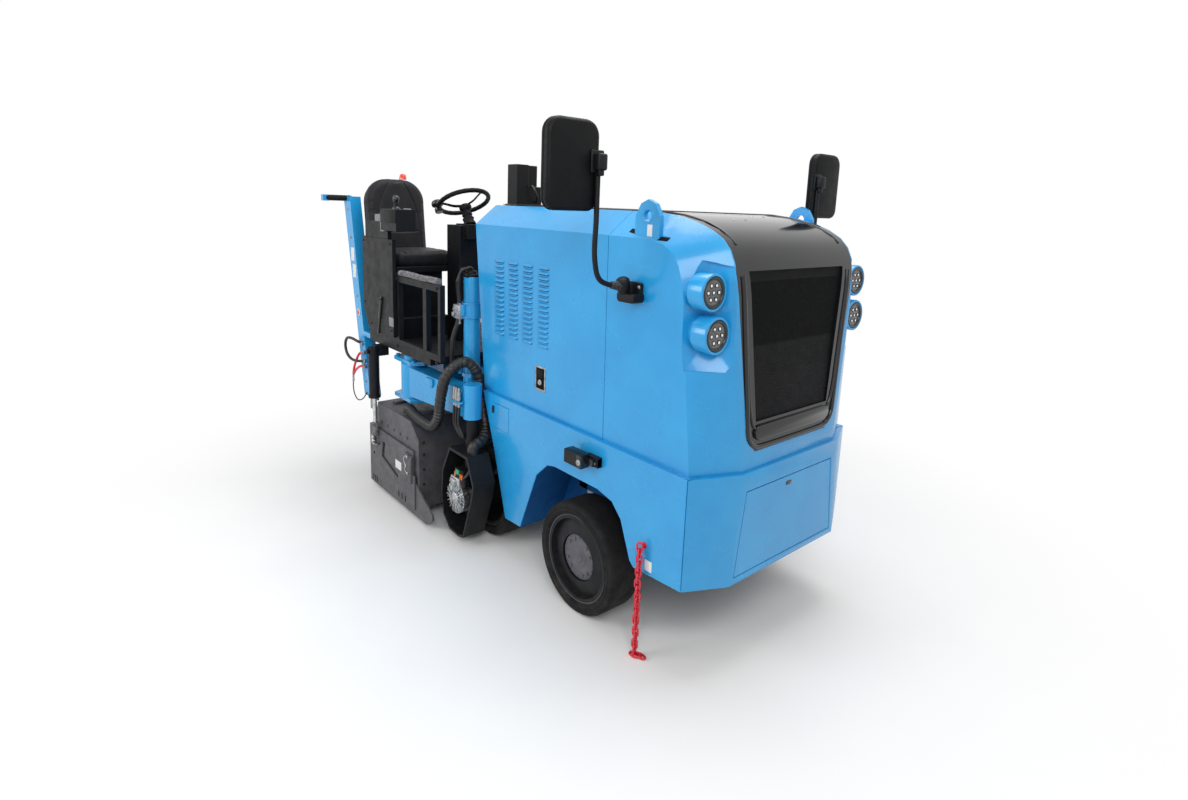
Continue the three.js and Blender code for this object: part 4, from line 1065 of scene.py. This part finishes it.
# ---- lifting eyes: slots beside the foot painted near-black as shade, welded collar round the hole, blank tag ----
for side, sign in sides.items():
    bm = bmesh.new()
    for x, lean in ((1170, 10), (1364, -10)):
        at, normal = touch("front_hood", (x, sign * 583, 2600), (0, 0, -1))
        prism(bm, [(-24, -13 + lean), (24, -13), (24, 13), (-24, 13 + lean)], -0.6, 0.9, 0.2,
              facing(at, normal, (0, -sign, 0.4)))
    newPiece(f"eyeSlotShade.{side}", bm, "paintedGapShade", "machine", 40)
    bm = bmesh.new()
    lathe(bm, [(11, 26), (13, 27), (14.5, 31), (13, 35), (11, 36)], (1267, sign * 583, 2018), (0, sign, 0), 40,
          looped=True)
    newPiece(f"eyeCollar.{side}", bm, "skyBlueEnamel", "machine", 50)
    bm = bmesh.new()
    prism(bm, roundRect(30, 52, 3), -0.4, 1.0, 0.3, facing((1284, sign * 595.2, 1955), (0, sign, 0)))
    newPiece(f"eyeTag.{side}", bm, "whiteLabel", "machine", 40)

# ---- blank plates and stickers ----
blanks = [
    ("tieTag", "side_skirt_right", (1412, -2000, 456), (0, 1, 0), 44, 52, "whiteLabel"),
    ("postTagHigh", "rear_post", (-1520, -2000, 1640), (0, 1, 0), 60, 96, "whiteLabel"),
    ("postTagLow", "rear_post", (-1494, -2000, 1520), (0, 1, 0), 60, 96, "whiteLabel"),
    ("sidePlateTag", "side_plate", (-700, -2000, 290), (0, 1, 0), 92, 58, "whiteLabel"),
    ("shieldTag", "side_shield", (-800, -2000, 1250), (0, 1, 0), 70, 60, "greyPlate"),
]
for name, node, start, way, w, h, look in blanks:
    try:
        at, normal = touch(node, start, way)
    except ValueError as why:
        print("no place for", name, why)
        continue
    bm = bmesh.new()
    prism(bm, roundRect(w, h, 3), -0.3, 0.7, 0.2, facing(at, normal))
    newPiece(name, bm, look, bodyOf[node], 40)

# ---- nose door: latch hole ----
at, normal = touch("front_door", (3000, -20, 812), (-1, 0, 0))
bm = bmesh.new()
prism(bm, roundRect(46, 20, 9), -0.5, 1.4, 0.5, facing(at, normal))
newPiece("noseLatch", bm, "glossPlastic", "nose_door", 40)
print("hood and seat details ready")


def loopHose(name, route, radius, look="hoseSheath", body="machine", rib=None):
    line = smoothPath(route, 3.0)
    bm = bmesh.new()
    skin = radius if rib is None else (lambda run: radius - 0.8 + 0.8 * math.cos(math.tau * run / rib))
    tube(bm, line, skin, 14)
    piece = newPiece(name, bm, look, body, 60)
    return piece


# ---- lifting column: cap, collar bands, valve block, hoses over the top ----
column = {"x": -228, "y": -585, "top": 1600, "radius": 52}
at = Vector((column["x"], column["y"], column["top"]))
bm = bmesh.new()
lathe(bm, [(-2, 46), (6, 50), (14, 50), (18, 46), (18, 30), (34, 28), (36, 24), (36, 0)], at, (0, 0, 1), 40)
slab(bm, (-262, -640, 1596), (-196, -560, 1622), 5)
newPiece("columnCap", bm, "blackPowderCoat", "machine", 40)
bm = bmesh.new()
for z in (1352, 1438):  # raised bands at the ends of the collar
    lathe(bm, [(-4, 61), (-4, 64.5), (-2, 66), (2, 66), (4, 64.5), (4, 61)], (column["x"], column["y"], z),
          (0, 0, 1), 48, looped=True)
slab(bm, (-252, -660, 1362), (-204, -640, 1430), 3)
newPiece("columnBands", bm, "skyBlueEnamel", "machine", 40)
bm = bmesh.new()
slab(bm, (-312, -672, 1340), (-234, -618, 1424), 3)
slab(bm, (-306, -684, 1352), (-284, -668, 1376), 2)
slab(bm, (-270, -684, 1390), (-248, -668, 1414), 2)
slab(bm, (-322, -660, 1380), (-308, -636, 1408), 2)
newPiece("valveBlock", bm, "castAluminium", "machine", 40)
bm = bmesh.new()
for x, y, z in ((-290, -642, 1400), (-270, -650, 1400), (-248, -656, 1400)):
    lathe(bm, [(-2, 11), (8, 11), (8, 9), (20, 9), (22, 11), (34, 11), (36, 9)], (x, y, z), (0, 0, 1), 6)
for x, y, z in ((-296, -672, 1396), (-258, -672, 1362)):
    bolt(bm, (x, y, z), (0, -1, 0), 13)
for x in (-292, -262):
    lathe(bm, [(-2, 10), (10, 10), (10, 8), (26, 8), (26, 10.5), (34, 10.5)], (x, -650, 1340), (0, 0, -1), 6)
newPiece("valveFittings", bm, "zincPlate", "machine", 40)
for k, (x, y) in enumerate(((-290, -642), (-270, -650), (-248, -656))):
    crown = 1610 + 10 * k
    loopHose(f"columnHose.{k}", [(x, y, 1432), (x - 2, y - 6, 1500), (x - 6 + 3 * k, y - 10, 1560),
                                 (x + 4, y + 4, crown), (x + 34, -640 + 14 * k, crown + 34 - 4 * k),
                                 (-238 + 8 * k, -612 + 10 * k, crown + 18), (-232 + 8 * k, -602 + 12 * k, 1620)], 8)
loopHose("legConduit", [(-288, -638, 1356), (-292, -650, 1300), (-298, -664, 1256), (-302, -678, 1200), (-300, -684, 1140),
                        (-300, -690, 1080), (-290, -682, 1036), (-264, -654, 1008)], 17, rib=7)

# ---- steel couplings between the arch of the large hose and the arm's barrel ----
bm = bmesh.new()
coupling = [(0, 10), (16, 10), (16, 14), (34, 14), (34, 11), (46, 11), (46, 15), (74, 15), (74, 12),
            (96, 12), (96, 9), (118, 9)]
for x, y in ((-128, -762), (-98, -764), (-68, -764)):
    lathe(bm, coupling, (x, y, 842), (0, 0, 1), 14)
    lathe(bm, [(0, 13), (13, 13)], (x, y, 876), (0, 0, 1), 6)
newPiece("couplings", bm, "zincPlate", "machine", 40)
bm = bmesh.new()
prism(bm, [(-150, -778), (-46, -790), (-30, -762), (-52, -740), (-150, -742)], 868, 876, 1.5)
newPiece("couplingPlate", bm, "skyBlueEnamel", "machine", 40)
for k, (x, y) in enumerate(((-128, -762), (-98, -764), (-68, -764))):
    loopHose(f"couplingHose.{k}", [(x, y, 842), (x, y - 2, 800), (x - 4, y - 2, 760), (x - 6, y + 6, 715),
                                   (x + 12, y + 18, 670), (x + 36 - 11 * k, y + 32, 640)], 8)

# ---- swing arm: boss, pivot cap, bolts, washer under the hose ----
pivot = Vector((-738, -735, 0))
bm = bmesh.new()
lathe(bm, [(1000, 56), (1006, 56), (1010, 50), (1012, 30), (1016, 26), (1020, 12), (1020, 0)], pivot, (0, 0, 1), 40)
for a in range(6):
    bolt(bm, pivot + Vector((math.cos(a * math.tau / 6) * 42, math.sin(a * math.tau / 6) * 42, 1010)), (0, 0, 1), 11)
newPiece("pivotCap", bm, "greyPlate", "machine", 40)
bm = bmesh.new()
for x, y in ((-900, -770), (-640, -780), (-640, -640), (-905, -640), (-560, -560)):
    lathe(bm, [(999, 15), (1008, 15), (1010, 13), (1010, 7), (1006, 6), (1006, 0)], (x, y, 0), (0, 0, 1), 24)
for x, y in ((-300, -620), (-240, -660)):
    bolt(bm, (x, y, 1000), (0, 0, 1), 18)
newPiece("hingeBolts", bm, "skyBlueEnamel", "machine", 40)
at, normal = touch("swing_arm", (-420, -2000, 920), (0, 1, 0))
bm = bmesh.new()
slab(bm, (-40, -22, -2), (40, 22, 14), 4, facing(at, normal))
slab(bm, (-28, -36, -2), (28, -20, 10), 3, facing(at, normal))
newPiece("armBoss", bm, "skyBlueEnamel", "machine", 40)

# ---- lift cylinder: gland, clevis, hose ends ----
ram = {"x": -1033, "y": -888}
bm = bmesh.new()
for z in (692, 1030):
    lathe(bm, [(-9, 37), (-9, 40), (-6, 41.5), (6, 41.5), (9, 40), (9, 37)], (ram["x"], ram["y"], z),
          (0, 0, 1), 40, looped=True)
slab(bm, (ram["x"] - 16, ram["y"] - 52, 1000), (ram["x"] + 16, ram["y"] - 30, 1030), 3)
newPiece("ramGland", bm, "blackPowderCoat", "machine", 40)
bm = bmesh.new()
for z in (368, 392):
    lathe(bm, [(-2, 16), (3, 16), (6, 13), (6, 0)], (ram["x"], ram["y"] - 22, z), (0, -1, 0), 24)
slab(bm, (ram["x"] - 34, ram["y"] - 12, 340), (ram["x"] + 34, ram["y"] + 14, 352), 3)
newPiece("rodClevis", bm, "zincPlate", "floating_side_plate", 40)

bm = bmesh.new()  # dusty foam sleeve on the rod, short enough to stay below the gland
tube(bm, [Vector((ram["x"], ram["y"], z)) for z in range(372, 503, 5)],
     lambda run: 20.5 + 1.4 * math.cos(run / 4.1) + 0.8 * math.sin(run / 1.7), 24)
newPiece("rodSleeve", bm, "greyFoam", "floating_side_plate", 60)

# ---- side plate: stiffener, slots along the lower edge, catch, hinge ----
plateFace = boxOf("side_plate")[0].y
bm = bmesh.new()
# the slots are near-black insets: painted shade in the openings
for x in (-1130, -1098, -1066, -700, -650, -600):
    prism(bm, roundRect(11, 44, 5), -0.4, 0.8, 0.2, facing((x, plateFace, 62 + (24 if x > -800 else 0)), (0, -1, 0)))
prism(bm, roundRect(24, 18, 8), -0.4, 0.8, 0.2, facing((-1108, plateFace, 250), (0, -1, 0)))
newPiece("plateSlotShade", bm, "paintedGapShade", "floating_side_plate", 40)
bm = bmesh.new()
slab(bm, (-520, plateFace - 20, 240), (-470, plateFace + 1, 420), 5)
slab(bm, (-580, plateFace - 12, 404), (-470, plateFace + 1, 424), 4)
slab(bm, (-476, plateFace - 9, 70), (-440, plateFace + 1, 300), 3)
newPiece("plateHinge", bm, "wornBlackPaint", "floating_side_plate", 40)
bm = bmesh.new()
line = smoothPath([(-540, plateFace - 16, 414), (-566, plateFace - 20, 392), (-560, plateFace - 20, 360),
                   (-546, plateFace - 18, 338), (-556, plateFace - 20, 314), (-548, plateFace - 14, 296)], 4)
tube(bm, line, 5.5, 10)
lathe(bm, [(-2, 12), (10, 12), (12, 10), (12, 0)], (-512, plateFace - 18, 414), (0, -1, 0), 20)
lathe(bm, [(-2, 10), (9, 10), (11, 8), (11, 0)], (-512, plateFace - 18, 300), (0, -1, 0), 20)
newPiece("plateCatch", bm, "zincPlate", "floating_side_plate", 40)

# ---- drum housing: seams, lifting lug, bolts, rear bracket ----
low, high = boxOf("drum_housing")
bm = bmesh.new()
slab(bm, (-1120, -850, high.z - 1), (-1080, -836, high.z + 16), 3)
slab(bm, (low.x - 22, -846, 440), (low.x + 2, -780, 560), 6)
slab(bm, (low.x - 34, -836, 470), (low.x - 18, -800, 530), 5)
slab(bm, (-980, -780, high.z - 1), (-930, -500, high.z + 16), 4)
slab(bm, (-640, -780, high.z - 1), (-596, -620, high.z + 22), 4)
newPiece("housingStiffeners", bm, "wornBlackPaint", "machine", 40)
bm = bmesh.new()
for x in (-1090, -990, -890, -790, -690, -590):
    lathe(bm, [(-1, 11), (0.4, 11), (0.4, 4.6), (-0.8, 4), (-0.8, 0)], (x, low.y, 508), (0, -1, 0), 24)  # flush heads
for z in (140, 240, 340, 440, 520):
    bolt(bm, (high.x, -820, z), (1, 0, 0), 13)
newPiece("housingBolts", bm, "greyPrimer", "machine", 40)

# ---- wheel motor: radial fins round the casting, block, terminal box and plugs ----
motor = {"x": -38, "z": 290, "face": -798, "ribs": 26}
bm = bmesh.new()
centre = Vector((motor["x"], motor["face"], motor["z"]))
for k in range(motor["ribs"]):
    a = math.tau * k / motor["ribs"]
    spoke = Matrix.Translation(centre) @ Matrix.Rotation(-a, 4, "Y")
    slab(bm, (34, -13 - 5 * (k % 2), -2.4), (90, 3, 2.4), 1.1, spoke)
    slab(bm, (78, -10, -2.6), (96, 44, 2.6), 1.1, spoke)
lathe(bm, [(-2, 36), (10, 36), (15, 32), (17, 24), (17, 12), (13, 10), (13, 0)], centre, (0, -1, 0), 32)
lathe(bm, [(-2, 66), (7, 66), (8, 64), (8, 58), (7, 56), (-2, 56)], centre, (0, -1, 0), 40, looped=True)
slab(bm, (-98, -806, 352), (6, -752, 420), 7)
slab(bm, (-86, -816, 366), (-24, -800, 408), 4)
for k in range(5):
    slab(bm, (-94 + 20 * k, -814, 334), (-84 + 20 * k, -780, 360), 2)
newPiece("motorFins", bm, "castAluminium", "machine", 40)
bm = bmesh.new()
for a in range(8):
    t = math.tau * a / 8 + 0.2
    bolt(bm, centre + Vector((math.cos(t) * 62, -8, math.sin(t) * 62)), (0, -1, 0), 9)
for x in (-78, -32):
    bolt(bm, (x, -816, 388), (0, -1, 0), 9)
newPiece("motorBolts", bm, "zincPlate", "machine", 40)
bm = bmesh.new()
slab(bm, (-56, -800, 420), (44, -746, 478), 6)
slab(bm, (24, -804, 384), (72, -752, 440), 7)
newPiece("motorTerminal", bm, "blackMoulding", "machine", 40)
bm = bmesh.new()
slab(bm, (-34, -808, 446), (4, -794, 474), 3)
newPiece("motorPlugGreen", bm, "greenPlug", "machine", 40)
bm = bmesh.new()
for x in (-50, 12, 30):
    slab(bm, (x, -806, 424), (x + 11, -794, 456), 3)
newPiece("motorPlugsOrange", bm, "orangePlug", "machine", 40)
loopHose("motorLead", [(20, -788, 424), (48, -794, 440), (72, -792, 460), (88, -786, 486), (96, -770, 520), (92, -752, 552),
                       (80, -742, 580)], 9)

# ---- rear post: handle grip, reflector, plates ----
def postMiddle(z):  # the post leans back as it rises
    return -1303 - 0.2125 * (z - 620)


bm = bmesh.new()
line = smoothPath([(-1606, -796, 2041), (-1630, -850, 2041), (-1672, -924, 2041), (-1690, -958, 2041)], 3)
tube(bm, line, lambda run: 21 + 1.2 * math.cos(math.tau * run / 12) - (4 if run < 6 else 0), 18)
newPiece("postGrip", bm, "blackMoulding", "machine", 50)
at, normal = touch("rear_post", (postMiddle(1223), -2000, 1223), (0, 1, 0))
bm = bmesh.new()
lathe(bm, [(-1, 26), (4, 26), (6, 23), (6, 0)], at, normal, 32)
newPiece("postReflectorRing", bm, "whiteLabel", "machine", 40)
bm = bmesh.new()
lathe(bm, [(3, 20), (8, 19), (11, 12), (12, 0)], at, normal, 32)
newPiece("postReflector", bm, "orangeReflector", "machine", 40)
bm = bmesh.new()
for z in (720, 860, 1000, 1340, 1760, 1960):
    at, normal = touch("rear_post", (postMiddle(z), -2000, z), (0, 1, 0))
    bolt(bm, at, normal, 14)
newPiece("postBolts", bm, "zincPlate", "machine", 40)
post = touch("rear_post", (postMiddle(1000), -2000, 1000), (0, 1, 0))[0]
out = post.y
loopHose("postCable", [(-1370, out - 1, 1000), (-1390, out - 26, 1012), (-1450, out - 52, 1030),
                       (-1520, out - 60, 1018), (-1556, out - 60, 965), (-1536, out - 58, 905),
                       (-1470, out - 52, 872), (-1400, out - 40, 868), (-1352, out - 24, 872),
                       (-1330, out - 2, 872)], 10)
bm = bmesh.new()
tube(bm, smoothPath([(-1452, out - 44, 768), (-1456, out - 44, 736), (-1458, out - 44, 704)], 3),
     lambda run: 7 + 2 * (run < 14) + 2 * (run > 48), 14)
joint = newPiece("leadJoint", bm, "zincPlate", "machine", 40)
bm = bmesh.new()
for x, z in ((-1384, 984), (-1352, 926), (-1334, 826), (-1340, 866)):
    slab(bm, (x, out - 16, z), (x + 34, out + 1, z + 24), 3)
    bolt(bm, (x + 17, out - 16, z + 12), (0, -1, 0), 11)
newPiece("postFittings", bm, "zincPlate", "machine", 40)
loopHose("postLeadA", [(-1340, out - 2, 940), (-1366, out - 24, 930), (-1410, out - 40, 860),
                       (-1440, out - 44, 800), (-1452, out - 44, 764)], 8.5, "redEnamel")
loopHose("postLeadB", [(-1322, out - 2, 836), (-1350, out - 24, 836), (-1410, out - 38, 800),
                       (-1452, out - 44, 756)], 8.5, "redEnamel")
loopHose("postThinLead", [(-1452, out - 44, 764), (-1458, out - 44, 704), (-1462, out - 44, 660),
                          (-1446, out - 42, 606), (-1396, out - 36, 572), (-1340, out - 22, 590),
                          (-1310, out - 2, 640)], 4)
bm = bmesh.new()
slab(bm, (-1190, -856.4, 560), (-1122, -850, 660), 0.2)
newPiece("housingPlate", bm, "greyPlate", "machine", 40)
print("rear details ready")

# ---- console, levers and brackets at the driver's right hand ----
low, high = boxOf("armrest_console")
bm = bmesh.new()
slab(bm, (-838, -904, 1900), (-606, -897, 1982), 2)
slab(bm, (-840, -903, 1940), (-604, -896, 1943), 1)
newPiece("consoleLid", bm, "blackMoulding", "machine", 40)
bm = bmesh.new()
slab(bm, (-910, -876, 1882), (-836, -800, 1962), 4)
slab(bm, (-1010, -870, 1900), (-900, -828, 1946), 4)
slab(bm, (-900, -880, 1838), (-846, -846, 1890), 3)
newPiece("consoleBrackets", bm, "greyPlate", "machine", 40)
bm = bmesh.new()
at = Vector((-748, -835, 1984))
lathe(bm, [(0, 24), (8, 23), (16, 14), (28, 10), (44, 9)], at, (0, 0, 1), 28)
lathe(bm, [(40, 9), (48, 16), (60, 20), (74, 20), (84, 14), (88, 0)], at, (0, 0, 1), 28)
newPiece("joystick", bm, "glossPlastic", "machine", 50)
bm = bmesh.new()
for k in range(4):
    lathe(bm, [(-1, 7), (5, 7), (7, 5), (7, 0)], (-700 + 26 * k, -800, 1985), (0, 0, 1), 16)
newPiece("consoleButtons", bm, "greyPlate", "machine", 40)

# ---- side frame: strut, sleeve over the top bar, bolts and screws ----
bm = bmesh.new()
strut = [Vector((-941, -862, 1392)), Vector((-1002, -862, 1150))]
way = (strut[1] - strut[0]).normalized()
lathe(bm, [(-6, 5), (0, 9), (4, 9), (8, 5), (12, 5), (12, 10.5), (150, 10.5), (154, 6), (236, 6), (240, 9), (250, 9)],
      strut[0], way, 20)
for end in strut:
    lathe(bm, [(-12, 9), (6, 9), (8, 6), (8, 0)], end, (0, -1, 0), 18)
newPiece("shieldStrut", bm, "glossPlastic", "machine", 50)
bm = bmesh.new()
line = [Vector((x, -816 + 1.5 * math.sin(x / 31), 1578 + 2 * math.sin(x / 57))) for x in range(-744, -206, 7)]
tube(bm, line, lambda run: 19 + 1.6 * math.sin(run / 5.2) + random.uniform(-0.7, 0.7), 18)
newPiece("frameSleeve", bm, "greyFoam", "machine", 60)
bm = bmesh.new()
for x in (-770, -212):
    for z in (1092, 1540):
        bolt(bm, (x, -832, z), (0, -1, 0), 15)
newPiece("frameBolts", bm, "greyPrimer", "machine", 40)
bm = bmesh.new()
for x, z in ((-1240, 1760), (-1240, 1330), (-800, 1760), (-800, 1190), (-1130, 1190)):
    screw(bm, (x, boxOf("side_shield")[0].y, z), (0, -1, 0), 7)
newPiece("shieldScrews", bm, "greyPrimer", "machine", 40)

# ---- deck: raised tread ----
deck = {"low": (-1180, -560), "high": (-200, 560), "z": 1100, "pitch": 46}
bm = bmesh.new()
row = 0
x = deck["low"][0]
while x < deck["high"][0]:
    y = deck["low"][1] + (row % 2) * deck["pitch"] / 2
    while y < deck["high"][1]:
        lean = 45 if (row + int((y - deck["low"][1]) // deck["pitch"])) % 2 else -45
        bar = Matrix.Translation((x, y, deck["z"])) @ Matrix.Rotation(math.radians(lean), 4, "Z")
        part = bmesh.new()
        base = [part.verts.new(p) for p in ((-15, 0, 0), (0, -4, 0), (15, 0, 0), (0, 4, 0))]
        peak = [part.verts.new(p) for p in ((-7, 0, 2.2), (7, 0, 2.2))]
        for f in ((0, 1, 4), (4, 1, 5), (1, 2, 5), (2, 3, 5), (5, 3, 4), (3, 0, 4)):
            verts = base + peak
            part.faces.new([verts[i] for i in f])
        part.faces.new(base[::-1])
        addInto(bm, part, bar)
        y += deck["pitch"]
    x += deck["pitch"]
    row += 1
newPiece("deckTread", bm, "blackPowderCoat", "machine", 20)

# ---- steering column: boot, key switch, lever ----
bm = bmesh.new()
low, high = boxOf("steering_column")
tilt = math.radians(28)
way = Vector((-math.sin(tilt), 0, math.cos(tilt)))
foot = Vector((-748, -350, 2045)) - way * 170
lathe(bm, [(0, 44), (12, 42), (26, 34), (44, 40), (58, 30), (74, 36), (88, 27), (112, 27)], foot, way, 28)
slab(bm, (-842, -420, 1796), (-836, -330, 1872), 3)
newPiece("columnBoot", bm, "blackMoulding", "machine", 50)
bm = bmesh.new()
for y in (-405, -372, -339):
    lathe(bm, [(-1, 10), (6, 10), (8, 8), (8, 0)], (-842, y, 1836), (-1, 0, 0), 20)
newPiece("columnSwitches", bm, "zincPlate", "machine", 40)

# ---- warning dome behind the seat, roof hatch boxes, roof strip ----
bm = bmesh.new()
at = Vector((-1420, -481, 2204))
lathe(bm, [(-14, 26), (0, 26), (4, 24), (16, 23), (24, 17), (28, 8), (29, 0)], at, (0, 0, 1), 32)
newPiece("seatDome", bm, "orangeReflector", "machine", 50)
bm = bmesh.new()
slab(bm, (-96, -440, 2035), (20, -240, 2046), 3)
slab(bm, (-92, -352, 2170), (-84, -262, 2262), 2)
for k in range(5):
    slab(bm, (-93, -422, 2060 + 20 * k), (-86, -262, 2068 + 20 * k), 1.5)
slab(bm, (-150, -420, 2036), (-90, 420, 2041), 2)
newPiece("roofBoxTrim", bm, "glossPlastic", "machine", 40)
loopHose("roofCable", [(14, -300, 2060), (30, -300, 2064), (52, -312, 2090), (52, -330, 2130), (34, -338, 2152),
                       (16, -338, 2150)], 6)

# ---- gloss cover: lips along both edges, cross seam, rivets ----
bm = bmesh.new()
for sign in (-1, 1):
    line = []
    for x in range(-120, 1640, 40):
        try:
            p, n = touch("top_cover", (x, sign * 404, 2600), (0, 0, -1))
        except ValueError:
            continue
        line.append(p + n * 0.5)
    tube(bm, smoothPath(line, 20), 5.5, 8)
newPiece("coverLips", bm, "blackLacquer", "machine", 60)
bm = bmesh.new()
for x, y in ((1380, -150), (1380, -60), (1300, 90), (1300, 190), (420, -300), (420, 300), (60, -300), (60, 300)):
    p, n = touch("top_cover", (x, y, 2600), (0, 0, -1))
    screw(bm, p, n, 6)
newPiece("coverRivets", bm, "zincPlate", "machine", 40)
bm = bmesh.new()
# the cross seam is a thin near-black line: painted shade in the joint
for x in (700,):  # cross seam of the roof panel
    line = [touch("top_cover", (x, y, 2600), (0, 0, -1))[0] + Vector((0, 0, 0.4)) for y in range(-440, 441, 40)]
    tube(bm, smoothPath(line, 30), 2.2, 6)
newPiece("coverSeamShade", bm, "paintedGapShade", "machine", 60)
print("all details ready")
